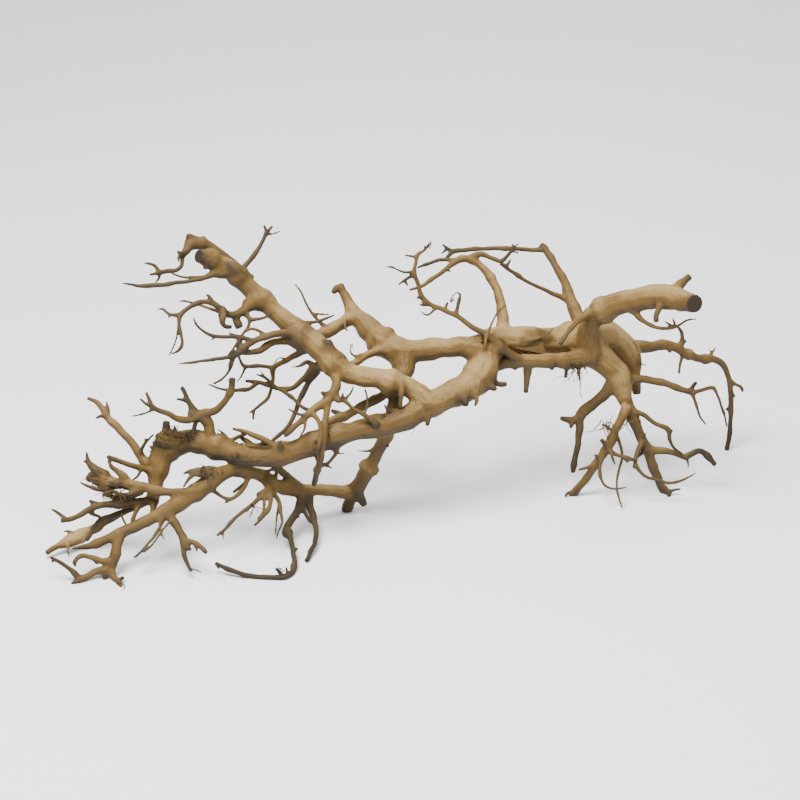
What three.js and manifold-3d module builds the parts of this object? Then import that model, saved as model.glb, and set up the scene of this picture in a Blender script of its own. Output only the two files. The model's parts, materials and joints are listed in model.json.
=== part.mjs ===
// A driftwood branch: a sandblasted root with a sawn arm, grafted loops and long rootlets.
// Millimetres, +Z up. It stands on the tips of its own rootlets, its origin on the floor under its middle.
import * as THREE from "three";
import { mergeVertices } from "three/addons/utils/BufferGeometryUtils.js";
import Module from "manifold-3d";

// The drawing: every route is read off a life-size drawing of the branch as it looks from the front.
const DRAWING = 800; // side of the square drawing
const VIEW_DISTANCE = 3000; // from the viewer's eye to the drawing
const LOOK_DOWN = THREE.MathUtils.degToRad(25); // the viewer looks down on the branch by this much
const FLOOR_DROP = 123; // from the drawing's centre straight down to the floor

// The wood.
const SEAM = 0.35; // gap at a fork, where one limb is cut back from the limb that carries it
const FOOT_SINK = 1.6; // a foot is drawn this far below the floor and then worn flat at it
const LOBE = 0.05; // how far a limb's section is from round, as a share of its radius
const LOBE_TURN = 45; // length of limb over which the lobes turn by one radian
const TIP_SHARE = 0.85; // a broken end is drawn in by this much; a sawn one isn't
const FINE_STEP = 2; // step along a limb at which its turning is looked at
const RING_TURN = THREE.MathUtils.degToRad(38); // a limb has a ring after each such turn
const RING_RUN = 26; // and after a straight run of this length
const RING_RUN_SHARE = 0.6; // with this share of its thickness added
const WOOD = { pale: 0xc8a878, brown: 0x9a7648, dark: 0x5e4630 };

// Thickness from which a limb has this many sides.
const SIDES = [
  [17, 7],
  [10, 6],
  [6.5, 5],
  [3.4, 4],
  [0, 3],
];

const HALF = DRAWING / 2;
const SIN = Math.sin(LOOK_DOWN);
const COS = Math.cos(LOOK_DOWN);

// Where a point of the drawing stands: across from its left edge, down from its top, toward the viewer.
function place(point) {
  const [across, down, toward] = point;
  const shrink = shrinkAt(point);
  const right = (across - HALF) * shrink;
  const up = (HALF - down) * shrink;
  return new THREE.Vector3(right, up * SIN - toward * COS, up * COS + toward * SIN + FLOOR_DROP);
}

// A point of the drawing at a height over the floor, from which its distance toward the viewer follows.
function atHeight(across, down, height, thickness) {
  const up = HALF - down;
  const toward = (height - FLOOR_DROP - up * COS) / (SIN - (up * COS) / VIEW_DISTANCE);
  return [across, down, toward, thickness];
}

// The end of a rootlet that the branch stands on.
function foot(across, down, thickness) {
  return atHeight(across, down, -FOOT_SINK, thickness);
}

// Each limb, in the order in which they are cut back from each other. A route's points are
// [across, down, toward, thickness]; a limb's first route is its own wood and the others grow from it.
const LIMBS = {
  stem: {
    wood: "pale",
    routes: [
      // Trunk, from the knee to the cut stub behind the crown.
      [
        [482, 354, 6, 30], [490, 343, -8, 30], [508, 341, -22, 27], [535, 342, -34, 28],
        [562, 341, -46, 30], [588, 338, -58, 32], [608, 337, -68, 31], [623, 347, -72, 27],
        [631, 362, -72, 19], [635, 378, -74, 12], [637, 394, -76, 9],
      ],
      // Crown, down to the legs.
      [
        [588, 352, -44, 26], [604, 361, -46, 27], [616, 373, -50, 25], [622, 390, -53, 18],
        [626, 402, -54, 14],
      ],
      // Wisp on the trunk.
      [
        [520, 344, -18, 5], [528, 341, -14, 3], [540, 338, -16, 2.6], [549, 333, -18, 2],
        [553, 328, -18, 1.6],
      ],
    ],
  },
  sawn_arm: {
    wood: "pale",
    sawn: true,
    routes: [
      [
        [590, 356, -36, 24], [587, 336, -30, 21], [595, 318, -20, 22], [614, 305, -4, 24],
        [640, 299, 14, 24], [665, 297, 34, 21], [682, 300, 52, 19.5], [695, 304, 76, 19],
      ],
      // Stub above, stub below.
      [[668, 294, 36, 12], [678, 286, 34, 9], [685, 280, 33, 7.5], [690, 276, 32, 7.5]],
      [[661, 300, 36, 9], [659, 309, 44, 7], [656, 316, 48, 6], [656, 322, 50, 6]],
      // Rootlet swinging under the arm.
      [
        [626, 305, 8, 12], [636, 314, 12, 6], [646, 323, 16, 4.6], [660, 328, 20, 4.2],
        [672, 328, 22, 3.8], [681, 324, 24, 3.2], [687, 320, 26, 3], [697, 319, 30, 2.2],
      ],
      // Side root from the scar.
      [
        [590, 312, -14, 12], [581, 319, -2, 6.5], [572, 327, 2, 5.4], [565, 336, 4, 4.6],
        [560, 345, 5, 5],
      ],
    ],
  },
  knee: {
    wood: "pale",
    routes: [
      // From the trunk's end down and left to the fork with the middle limb.
      [
        [478, 347, 10, 26], [484, 358, 10, 30], [481, 372, 13, 33], [468, 386, 17, 29],
        [450, 395, 21, 25], [434, 403, 26, 27], [424, 408, 30, 26],
      ],
      // Broken stubs underneath.
      [[490, 380, 12, 14], [498, 384, 14, 6], [507, 384, 16, 5.5]],
      [[490, 385, 20, 10], [496, 390, 24, 5]],
      [[464, 392, 26, 14], [465, 401, 32, 8], [466, 406, 34, 6.5]],
      [[474, 390, 24, 12], [477, 400, 28, 5], [475, 406, 30, 3]],
      // Sprig standing in front.
      [
        [484, 352, 20, 6], [485, 345, 26, 4], [487, 336, 22, 3.6], [492, 323, 14, 3], [498, 312, 8, 2.6],
        [507, 304, 0, 2],
      ],
    ],
  },
  front_bar: {
    wood: "brown",
    routes: [
      [
        [594, 357, -36, 18], [572, 360, -25, 16], [546, 361, -16, 14], [522, 361, -11, 13],
        [506, 363, -10, 13], [492, 367, -10, 12],
      ],
      [[528, 363, -16, 9], [527, 378, -20, 7], [526, 393, -22, 5.6]],
      // Heart of the hair tuft.
      [
        [580, 362, -30, 6], [579, 372, -26, 3.2], [580, 383, -23, 2.4], [580, 391, -22, 2],
        [582, 399, -21, 1.6],
      ],
    ],
  },
  lower_limb: {
    wood: "brown",
    routes: [
      [
        [430, 404, 27, 25], [405, 418, 35, 25], [380, 426, 42, 23], [350, 432, 48, 20],
        [320, 441, 50, 22], [290, 452, 52, 23], [265, 457, 52, 21], [240, 455, 50, 20],
        [215, 447, 46, 20], [195, 441, 42, 22], [177, 443, 38, 25],
      ],
      // Thorn, knot and broken stub.
      [[427, 412, 34, 14], [428, 421, 36, 6], [427, 426, 37, 4]],
      [[280, 452, 58, 12], [280, 446, 66, 6], [280, 440, 68, 3]],
      [[234, 456, 58, 12], [235, 457, 66, 8], [235, 455, 70, 4]],
      [[394, 412, 42, 8], [390, 411, 47, 5], [386, 408, 50, 3], [384, 404, 51, 2]],
    ],
  },
  left_column: {
    wood: "brown",
    routes: [
      [
        [184, 442, 38, 24], [170, 447, 36, 27], [161, 459, 37, 23], [158, 472, 40, 18],
        [155, 487, 44, 15], [153, 502, 50, 14],
      ],
      // Burl with its stub.
      [[178, 441, 46, 18], [166, 439, 50, 18], [157, 440, 48, 12]],
      [[168, 440, 46, 12], [167, 430, 48, 9], [166, 421, 50, 8]],
    ],
  },
  middle_limb: {
    wood: "brown",
    routes: [
      [
        [430, 404, 30, 22], [413, 390, 33, 21], [393, 382, 35, 20], [371, 377, 38, 20],
        [350, 374, 40, 21], [335, 364, 40, 24], [321, 350, 38, 25], [305, 335, 34, 23],
      ],
      [[330, 356, 44, 16], [329, 345, 46, 11], [327, 340, 47, 9]],
      // Knotted strut to the lower limb.
      [[401, 380, 42, 7], [402, 390, 46, 6], [401, 400, 45, 5], [400, 408, 44, 5]],
    ],
  },
  upper_limb: {
    wood: "brown",
    sawn: true,
    routes: [
      [
        [306, 336, 34, 23], [285, 320, 30, 20], [265, 302, 26, 18], [247, 285, 27, 19],
        [230, 270, 33, 20], [213, 260, 43, 17], [198, 256, 56, 14],
      ],
      // Ridge on top and the fork-tipped sprig.
      [[246, 280, 28, 14], [236, 269, 38, 12], [227, 264, 42, 8]],
      [
        [243, 277, 24, 9], [243, 269, 22, 6], [251, 259, 19, 5], [258, 249, 16, 5], [263, 240, 14, 4.6],
        [267, 231, 12, 5],
      ],
      // Long rootlet to the left, with its companion.
      [
        [224, 272, 38, 14], [213, 275, 44, 8], [203, 278, 48, 5.6], [190, 281, 52, 4.8],
        [175, 283, 56, 4.6], [158, 285, 60, 4.6], [140, 286, 64, 4.2], [129, 284, 67, 3.2],
        [121, 283, 69, 2],
      ],
      [
        [206, 277, 47, 4], [196, 277, 44, 3.4], [184, 277, 42, 3.2], [176, 275, 41, 3],
        [171, 273, 40, 2.4],
      ],
      [[212, 262, 40, 8], [207, 265, 42, 5], [204, 269, 43, 4]],
      // Sprig on the upper side.
      [
        [304, 329, 34, 8], [303, 324, 32, 4.6], [315, 322, 30, 4], [325, 319, 29, 3.4],
        [335, 315, 28, 2.6],
      ],
    ],
  },
  upper_twin: {
    wood: "brown",
    routes: [
      [
        [252, 280, 12, 10], [238, 268, 10, 10], [224, 257, 10, 9], [209, 246, 12, 10], [201, 243, 14, 12],
        [192, 243, 17, 16], [187, 249, 20, 9], [183, 257, 22, 5], [182, 265, 24, 4.6],
        [177, 270, 26, 4.6], [167, 271, 28, 4.6], [158, 273, 30, 5.4],
      ],
      [[206, 245, 12, 6], [204, 239, 12, 5], [203, 236, 12, 4]],
      [[194, 240, 18, 10], [190, 237, 20, 8], [186, 236, 21, 6]],
    ],
  },
  claw_branch: {
    wood: "brown",
    routes: [
      [
        [262, 304, 28, 16], [251, 304, 34, 14], [243, 311, 42, 10], [234, 315, 48, 8], [226, 314, 52, 7],
        [221, 309, 56, 8],
      ],
      [[236, 314, 47, 8], [236, 320, 46, 8], [238, 324, 45, 9], [240, 328, 44, 8]],
      // Arm that ends in drooping claws.
      [
        [223, 311, 55, 7], [214, 304, 58, 6.4], [205, 302, 60, 5.6], [196, 304, 63, 5.4],
        [187, 309, 66, 5.2], [180, 315, 69, 6], [179, 324, 72, 4.4], [181, 335, 74, 3.8],
        [182, 345, 75, 3.8], [178, 351, 75, 3.4], [172, 354, 74, 2.4],
      ],
      [
        [180, 318, 70, 4], [178, 330, 73, 2.8], [176, 340, 72, 2.8], [173, 348, 72, 2.6],
        [169, 356, 72, 2],
      ],
      [
        [222, 313, 52, 5], [213, 310, 44, 4], [203, 306, 40, 3.6], [193, 303, 38, 3], [184, 301, 37, 2.8],
        [178, 301, 36, 2],
      ],
      // Knuckle.
      [[222, 309, 57, 7], [224, 316, 60, 6], [222, 321, 61, 6], [225, 326, 60, 5], [232, 327, 56, 5]],
      // Sprig in front of the limb.
      [
        [245, 312, 41, 7], [250, 319, 44, 4.8], [258, 319, 44, 4.2], [266, 317, 42, 3.6],
        [272, 313, 40, 2.4],
      ],
    ],
  },
  bridge: {
    wood: "pale",
    routes: [
      [
        [480, 349, 10, 30], [462, 347, 10, 22], [440, 348, 8, 19], [416, 351, 5, 22], [396, 350, 0, 26],
        [380, 340, -6, 24], [366, 325, -12, 21], [354, 313, -18, 17], [348, 301, -22, 11],
        [343, 291, -25, 9], [340, 284, -27, 8],
      ],
      // Lobe that closes on the middle limb, and the two grafts left of it.
      [[402, 354, 2, 24], [404, 368, 8, 22], [402, 382, 22, 15]],
      [
        [356, 315, -16, 16], [343, 323, -12, 13], [328, 331, -4, 12], [314, 337, 8, 11],
        [306, 340, 20, 10],
      ],
      [[390, 349, 4, 14], [374, 352, 12, 9], [361, 359, 20, 8], [349, 368, 32, 8]],
      // Cap of the knuckle and small thorns.
      [[343, 289, -24, 8], [337, 288, -22, 7], [333, 293, -20, 6]],
      // Sprig with a long tip.
      [
        [330, 329, -4, 7], [322, 324, 0, 4.4], [314, 316, 2, 3.8], [308, 307, 3, 3], [304, 299, 4, 3],
        [301, 292, 5, 2.8], [295, 284, 6, 2.2],
      ],
    ],
  },
  prop_leg: {
    wood: "brown",
    routes: [
      [
        [397, 384, 28, 15], [395, 400, 22, 14], [390, 424, 10, 14], [383, 441, 1, 13.6],
        [374, 458, -9, 13], [365, 475, -22, 13], [356, 491, -36, 17],
      ],
      // Broken foot with two lobes.
      [[356, 490, -36, 17], [350, 502, -44, 11], foot(347, 512, 9.5)],
      [[357, 492, -36, 14], [362, 501, -38, 9], [365, 506, -38, 6.5]],
      [[352, 489, -34, 12], [350, 484, -32, 5]],
      // Pale root behind, to the lower limb.
      [
        [396, 388, 26, 12], [380, 397, 12, 10], [362, 407, 6, 10], [345, 416, 8, 9.4], [333, 421, 18, 9],
        [325, 427, 34, 8],
      ],
      [[345, 416, 8, 7], [337, 413, 4, 6], [331, 410, 2, 4]],
    ],
  },
  front_root: {
    wood: "brown",
    routes: [
      [
        [352, 492, -36, 16], [336, 491, -28, 13], [313, 490, -13, 12], [291, 490, 3, 13],
        [275, 485, 15, 13.4], [262, 476, 27, 13], [248, 471, 38, 13], [234, 470, 46, 14],
      ],
      // Dark strut up to the lower limb.
      [[298, 488, -2, 13], [289, 478, 8, 8.4], [279, 468, 20, 8], [272, 460, 34, 8]],
      [
        [275, 487, 16, 6], [276, 476, 22, 4.4], [276, 470, 25, 3.6], [268, 471, 28, 3],
        [264, 475, 30, 2.6],
      ],
    ],
  },
  hook_root: {
    wood: "dark",
    routes: [
      [
        [304, 490, -9, 14], [302, 501, 0, 11], [297, 511, 9, 9], [291, 521, 19, 8.4], [287, 530, 28, 8],
        [290, 539, 38, 6.2], [293, 551, 50, 5.8], [294, 563, 64, 5.8], [292, 572, 74, 6],
        atHeight(286, 577, 2.4, 5.6), atHeight(267, 577.5, 2, 5.6), atHeight(250, 576, 2.2, 5.6),
        atHeight(238, 573, 5, 5.2), atHeight(226, 568, 8, 5), atHeight(215, 563, 12, 4.6),
      ],
      // Straight root beside the hook.
      [
        [308, 492, -11, 12], [310, 507, -4, 9], [315, 522, 8, 6.4], [316, 537, 24, 5.8],
        [312, 550, 40, 5.2], [306, 561, 54, 5],
      ],
    ],
  },
  spray_root: {
    wood: "brown",
    routes: [
      [
        [264, 478, 28, 10], [269, 488, 34, 7], [271, 500, 42, 5.2], [269, 509, 46, 4.8],
        [262, 518, 50, 4.2], [254, 526, 54, 3],
      ],
      [
        [270, 488, 33, 7], [278, 500, 34, 4.8], [281, 512, 40, 4.2], [282, 522, 45, 3.2],
        [278, 533, 50, 2.6], [276, 540, 54, 2],
      ],
      [[279, 505, 36, 4], [277, 516, 38, 3], [276, 528, 44, 2.4], [275, 536, 48, 2]],
      // Knob with the long straight rootlet.
      [[270, 490, 35, 9], [262, 494, 40, 9], [257, 496, 42, 7]],
      [
        [262, 496, 42, 6], [249, 507, 52, 4.8], [236, 517, 60, 4.2], [227, 527, 66, 3.8],
        [217, 536, 72, 3.2],
      ],
    ],
  },
  left_root: {
    wood: "brown",
    routes: [
      [
        [246, 470, 40, 12], [232, 470, 48, 14], [217, 477, 56, 17], [203, 487, 62, 18],
        [185, 500, 68, 15.6], [165, 510, 72, 14], [143, 522, 77, 12], [123, 532, 80, 12],
        [105, 540, 82, 9.4], [90, 546, 84, 6.6], [72, 549, 86, 3],
      ],
      // Hollow knob and its splinters.
      [
        [218, 474, 58, 15], [209, 470, 64, 9.6], [201, 470, 67, 6.6], [191, 471, 70, 5],
        [183, 474, 72, 2.6],
      ],
      [[213, 478, 62, 9], [203, 476, 70, 5], [196, 476, 73, 3]],
      // Loop twig underneath.
      [
        [249, 474, 36, 8], [246, 484, 42, 5], [240, 493, 48, 5], [231, 499, 54, 4.6], [222, 497, 58, 4],
        [212, 490, 60, 5],
      ],
    ],
  },
  left_leg: {
    wood: "brown",
    routes: [
      [[119, 533, 80, 14], [117, 546, 83, 10.4], [114, 559, 84, 10.6], [109, 569, 82, 12]],
      [[110, 567, 82, 11], [106, 574, 82, 8], foot(104, 581, 4.4)],
      [[111, 568, 83, 9], [114, 577, 86, 6.6], [118, 582, 90, 5.6], foot(121, 589, 4.4)],
      [[108, 569, 83, 10], [96, 572, 84, 7.4], [84, 578, 88, 6.8], foot(71, 585, 5.6)],
      [[80, 579, 88, 7], [74, 573, 90, 6], [66, 566, 92, 5], [58, 561, 94, 4.6], [50, 557, 96, 3.4]],
      [
        [113, 560, 84, 8], [101, 561, 86, 6.6], [90, 557, 88, 5.4], [81, 556, 90, 5.4], [75, 562, 92, 5],
        [76, 567, 93, 3],
      ],
    ],
  },
  left_fork_root: {
    wood: "brown",
    routes: [
      [
        [166, 511, 72, 12], [173, 520, 75, 9], [181, 533, 79, 8.4], [184, 542, 81, 9],
        [184, 553, 84, 5.8], [188, 565, 86, 4.6], [191, 572, 88, 3],
      ],
      [[184, 541, 81, 8], [193, 542, 86, 6], [201, 547, 90, 5.4], [207, 553, 94, 4.6]],
      // Pair of thin strands.
      [[166, 515, 76, 5], [158, 530, 80, 3.4], [148, 544, 84, 3.6], [134, 558, 88, 3]],
      [[170, 521, 80, 3], [162, 531, 84, 2.6], [151, 546, 87, 2.8], [143, 553, 88, 2.4]],
    ],
  },
  left_bar: {
    wood: "brown",
    routes: [
      [
        [208, 486, 68, 9], [195, 491, 72, 7.4], [176, 492, 72, 8], [157, 491, 69, 9], [141, 486, 66, 10],
        [126, 484, 63, 11], [112, 484, 60, 11],
      ],
      // Broken slab with its spikes.
      [[116, 484, 60, 12], [104, 480, 56, 16], [93, 477, 52, 13], [87, 481, 50, 6]],
      [[106, 476, 58, 12], [96, 469, 58, 8], [89, 463, 58, 6], [87, 456, 58, 3.6], [87, 451, 58, 2.2]],
      [[128, 482, 62, 9], [120, 473, 64, 6.6], [111, 466, 66, 5.6], [110, 463, 66, 4]],
      [[110, 488, 60, 7], [99, 490, 64, 4.6], [89, 486, 66, 4], [79, 482, 68, 2.4]],
      // Twisted strands below the bar.
      [[140, 489, 67, 7], [126, 495, 70, 5], [112, 492, 70, 4.6], [102, 495, 68, 5.4]],
      [[143, 492, 66, 6], [130, 497, 64, 5], [116, 497, 63, 5], [104, 494, 64, 5]],
    ],
  },
  left_horn: {
    wood: "brown",
    routes: [
      [
        [158, 484, 40, 10], [148, 468, 36, 9.6], [140, 455, 33, 9], [132, 443, 30, 8.6],
        [122, 432, 27, 8.4], [113, 424, 24, 9], [107, 417, 22, 7.6], [102, 409, 20, 5.4],
        [95, 401, 18, 4.8], [87, 398, 16, 4],
      ],
      [[143, 459, 34, 5], [142, 450, 38, 4], [146, 442, 40, 3.6], [150, 438, 40, 3], [154, 434, 40, 2.6]],
      [
        [155, 479, 42, 9], [146, 470, 46, 7], [134, 466, 52, 6.2], [121, 462, 58, 5.8],
        [107, 456, 65, 4.4],
      ],
    ],
  },
  left_rootlets: {
    wood: "brown",
    routes: [
      [
        [158, 499, 50, 10], [140, 502, 55, 9.4], [120, 504, 60, 8.4], [101, 505, 64, 7.6],
        [92, 508, 68, 7], [82, 514, 75, 5.6], [71, 519, 82, 5.2], [61, 521, 88, 5],
      ],
      [[98, 505, 64, 6], [92, 502, 66, 5], [89, 500, 67, 3]],
      [
        [148, 501, 53, 8], [134, 508, 51, 6], [118, 514, 50, 6], [102, 519, 52, 5.8], [95, 526, 56, 5.2],
        [91, 534, 62, 5], [87, 541, 68, 4.4],
      ],
      // Weathered slab behind.
      [
        [126, 511, 50, 7], [108, 521, 40, 7], [94, 529, 34, 10], [79, 536, 32, 13], [67, 542, 36, 11],
        [57, 547, 42, 6.4], [46, 553, 48, 6],
      ],
      // Struts down to the left root.
      [[140, 503, 55, 7], [135, 514, 62, 5.2], [132, 525, 73, 5]],
      [[154, 503, 54, 9], [152, 511, 62, 5.6], [151, 519, 70, 5]],
    ],
  },
  candelabra: {
    wood: "brown",
    routes: [
      [
        [208, 445, 48, 15], [209, 434, 50, 12], [208, 424, 52, 10.6], [203, 415, 55, 11],
        [212, 412, 59, 8.6], [222, 405, 65, 7.4], [229, 395, 70, 6.6], [232, 386, 74, 6.8],
        [232, 378, 76, 7.4],
      ],
      [
        [204, 416, 55, 9], [195, 411, 57, 7.4], [189, 402, 59, 6.2], [185, 393, 60, 5.2],
        [181, 387, 60, 5],
      ],
      // Left arm with three prongs.
      [
        [201, 415, 56, 8], [190, 420, 64, 6.4], [178, 419, 70, 6.2], [165, 413, 78, 6],
        [155, 409, 84, 5.6], [151, 405, 86, 5],
      ],
      [[190, 412, 58, 6], [190, 417, 64, 5]],
      // Strut back to the burl.
      [[198, 414, 56, 7], [195, 424, 56, 5.4], [193, 433, 54, 5.4], [188, 438, 52, 6]],
    ],
  },
  lying_twigs: {
    wood: "brown",
    routes: [
      [
        [280, 449, 62, 7], [266, 441, 60, 6.2], [253, 435, 57, 5.6], [243, 431, 54, 5],
        [232, 429, 52, 3.2],
      ],
      [[266, 443, 58, 5], [255, 445, 52, 4.4], [246, 441, 46, 5.6], [241, 437, 44, 4.6]],
      [[246, 434, 53, 4], [238, 437, 48, 4.4], [230, 440, 46, 4], [224, 434, 44, 3.2], [217, 429, 42, 2]],
    ],
  },
  upper_tangle: {
    wood: "brown",
    routes: [
      // Two roots that meet in a knot and run out in a long tip.
      [
        [302, 342, 36, 13], [287, 333, 44, 8.4], [274, 334, 49, 7.4], [262, 338, 53, 6.6],
        [251, 343, 57, 6.4], [243, 349, 60, 7.4], [236, 355, 62, 6], [226, 358, 65, 4.8],
        [210, 360, 69, 4], [194, 362, 73, 3.4], [178, 364, 77, 2.2],
      ],
      [
        [303, 348, 32, 12], [288, 341, 34, 8.6], [272, 343, 40, 8], [260, 350, 48, 7],
        [248, 353, 56, 6.2], [240, 352, 61, 6],
      ],
      [
        [254, 341, 56, 5], [240, 337, 60, 4.6], [225, 337, 64, 4.4], [211, 335, 68, 4.2],
        [203, 331, 70, 3.6], [197, 325, 72, 3.2], [193, 317, 74, 2.2],
      ],
      [
        [268, 337, 50, 5], [259, 331, 54, 4], [250, 329, 56, 4], [243, 334, 56, 3.6], [240, 342, 58, 4],
        [239, 350, 60, 4.6],
      ],
      // Drop from the knot.
      [
        [234, 356, 62, 5], [231, 363, 60, 5.6], [229, 371, 58, 3.2], [222, 379, 57, 3.2],
        [213, 384, 56, 3],
      ],
    ],
  },
  middle_tangle: {
    wood: "brown",
    routes: [
      [
        [308, 347, 28, 12], [297, 354, 20, 7], [285, 361, 12, 5.8], [273, 369, 4, 6.4],
        [273, 378, 2, 4.8], [271, 390, 2, 4.2], [267, 399, 4, 4], [258, 407, 6, 3.4], [249, 413, 8, 2.4],
      ],
      [
        [275, 368, 4, 5], [262, 366, 0, 4.4], [250, 366, -2, 4.4], [244, 366, -2, 4.4],
        [240, 359, 0, 3.4], [238, 352, 4, 2.6],
      ],
    ],
  },
  bundle_root: {
    wood: "brown",
    routes: [
      [
        [326, 366, 32, 13], [314, 368, 24, 9], [304, 378, 18, 6], [293, 388, 14, 5.4],
        [280, 389, 12, 5.2], [268, 385, 12, 5], [256, 382, 14, 4.6], [245, 381, 16, 3.6],
      ],
      [[314, 367, 24, 8], [308, 362, 26, 5], [300, 366, 28, 3.4], [291, 367, 30, 2.2]],
      [
        [258, 383, 14, 4.4], [249, 389, 20, 4.4], [238, 390, 24, 4.4], [228, 390, 28, 3.4],
        [218, 388, 31, 3], [208, 384, 34, 2.2],
      ],
      [[279, 388, 12, 5], [290, 396, 22, 4.2], [301, 406, 34, 4.2], [311, 412, 46, 4.4]],
      // Pale root down to the back of the lower limb.
      [
        [318, 370, 24, 8], [307, 385, 14, 6], [300, 399, 12, 5.6], [295, 413, 14, 5.4], [287, 428, 20, 5],
        [276, 438, 30, 4.6], [268, 444, 40, 4.4],
      ],
    ],
  },
  lower_tangle: {
    wood: "brown",
    routes: [
      [
        [333, 370, 42, 13], [337, 384, 52, 9.4], [331, 396, 58, 9], [319, 406, 62, 8.4],
        [309, 414, 65, 7.6], [295, 426, 67, 6.2], [284, 436, 68, 5.4],
      ],
      [[331, 393, 58, 7], [325, 394, 62, 5.4], [321, 392, 64, 4]],
      [
        [336, 395, 56, 8], [338, 400, 58, 7], [343, 400, 60, 5], [353, 408, 62, 4.2], [363, 414, 62, 4.4],
        [372, 420, 60, 6], [377, 425, 57, 8],
      ],
      // Strands that hang in front of the lower limb.
      [
        [329, 399, 59, 8], [327, 411, 62, 7], [325, 424, 66, 6.6], [324, 440, 70, 6.8], [321, 457, 66, 7],
        [317, 472, 46, 6.6], [314, 484, 16, 6],
      ],
      [
        [312, 413, 65, 6], [318, 420, 69, 5.2], [320, 432, 73, 4.8], [319, 446, 75, 4.6],
        [316, 456, 73, 3.6],
      ],
      [
        [319, 465, 56, 5.4], [327, 464, 54, 4.4], [334, 456, 52, 4.2], [338, 449, 50, 3.8],
        [341, 443, 50, 3],
      ],
    ],
  },
  arch_limb: {
    wood: "pale",
    routes: [
      [
        [503, 338, -24, 20], [503, 320, -29, 13], [501, 303, -36, 10.4], [496, 287, -42, 9.4],
        [487, 272, -45, 8.4], [475, 262, -45, 7.6], [463, 258, -42, 7], [454, 262, -38, 6.6],
        [445, 270, -32, 5.2], [434, 278, -26, 4.8], [422, 286, -21, 4.4], [409, 290, -17, 3],
      ],
      // Pale twig to the right.
      [
        [466, 259, -43, 6.4], [481, 254, -44, 5.4], [492, 258, -43, 5], [501, 261, -42, 5],
        [509, 254, -38, 4], [513, 248, -36, 3.4],
      ],
      [
        [460, 260, -41, 6], [452, 260, -40, 5], [440, 260, -40, 4.6], [428, 264, -40, 4],
        [417, 268, -40, 3],
      ],
    ],
  },
  crook_limb: {
    wood: "brown",
    routes: [
      [
        [588, 334, -58, 20], [578, 318, -62, 15], [571, 302, -68, 12.6], [567, 288, -76, 10],
        [560, 273, -86, 8.2], [551, 258, -95, 7], [544, 248, -101, 7.6], [540, 245, -102, 6],
      ],
      // Top twig, lying almost level.
      [
        [545, 250, -101, 6], [530, 249.5, -101, 5], [512, 248.5, -98, 5.2], [495, 248.5, -95, 5],
        [478, 249, -90, 4.6], [462, 250, -85, 4.8], [453, 252, -82, 5.2], [446, 258, -78, 4],
      ],
      // Straight twig back to the left.
      [
        [571, 301, -68, 10], [562, 298, -70, 5.6], [545, 290, -66, 4.6], [524, 280, -62, 4.2],
        [509, 269, -58, 4.2], [500, 263, -55, 4],
      ],
    ],
  },
  long_twig: {
    wood: "brown",
    routes: [
      [
        [520, 360, -6, 10], [507, 352, 4, 8.4], [496, 343, 14, 6.8], [484, 334, 20, 6.2],
        [470, 325, 20, 5.8], [455, 315, 20, 5.6], [442, 309, 22, 5.4], [430, 304, 24, 5.4],
        [422, 296, 28, 5.2], [418, 284, 32, 4.8], [414, 272, 36, 4.8], [416, 263, 38, 4.4],
        [418, 255, 38, 4], [425, 250, 36, 3.2], [428, 245, 35, 2.8], [432, 241, 34, 2],
      ],
      [
        [415, 272, 36, 4], [404, 272, 40, 3], [398, 270, 42, 2.6], [391, 267, 44, 2.4],
        [385, 267, 46, 1.8],
      ],
      [
        [456, 315, 20, 5], [458, 305, 20, 4.2], [460, 294, 20, 2.8], [456, 293, 21, 2],
        [450, 300, 22, 1.6],
      ],
    ],
  },
  right_reach: {
    wood: "pale",
    routes: [
      [
        [622, 346, -76, 17], [640, 347, -84, 13.6], [657, 346, -93, 11], [673, 346, -102, 10],
        [686, 353, -112, 9], [698, 358, -122, 8], [711, 359, -132, 7.4], [721, 362, -141, 7],
        [727, 374, -149, 6.4], [730, 388, -156, 6.2], [731, 404, -162, 5.8], [730, 427, -170, 5.4],
        foot(727, 451, 5.6),
      ],
      // Upright twig, prong and hanging twig.
      [[680, 350, -108, 7], [682, 340, -104, 5], [681, 332, -101, 4.4], [677, 326, -98, 3]],
    ],
  },
  right_fork_limb: {
    wood: "brown",
    routes: [
      [
        [620, 378, -54, 14], [632, 379, -54, 9.4], [648, 380, -52, 8], [666, 384, -49, 7],
        [682, 389, -46, 6.6], [693, 393, -44, 6.4],
      ],
      [
        [691, 393, -44, 5.6], [699, 391, -40, 4.6], [713, 388, -37, 4.4], [718, 396, -36, 3.4],
        [721, 406, -36, 3.2], [725, 417, -36, 3], [727, 427, -36, 2.6],
      ],
      [
        [692, 393, -44, 5], [695, 401, -40, 3.8], [698, 411, -37, 3.2], [701, 418, -35, 3],
        [706, 425, -33, 2.4],
      ],
    ],
  },
  splay_leg: {
    wood: "brown",
    routes: [
      [
        [616, 381, -52, 18], [605, 393, -56, 12], [592, 405, -60, 10.4], [581, 415, -63, 11],
        [580, 427, -67, 9], [578, 442, -72, 7.2], [575, 458, -77, 6.4], [573, 473, -82, 5],
      ],
      [[583, 414, -63, 10], [573, 420, -61, 8], [564, 419, -59, 5.4], [560, 418, -58, 4.4]],
    ],
  },
  back_leg: {
    wood: "brown",
    routes: [
      [
        [624, 396, -54, 15], [631, 412, -58, 12.4], [639, 433, -65, 11], [648, 452, -72, 10.6],
        [655, 472, -79, 9.4], foot(665, 494, 8.4),
      ],
      [[660, 484, -82, 7], [668, 492, -81, 6], [669, 498, -78, 4]],
      // Bent arm with a dark end.
      [
        [646, 449, -71, 11], [658, 450, -70, 8.2], [672, 452, -69, 6.6], [685, 457, -68, 6],
        [691, 454, -68, 6.6], [698, 451, -68, 6.4], [706, 455, -68, 6], [716, 465, -68, 5.4],
      ],
      // Thin arm that bends down to it.
      [
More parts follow.
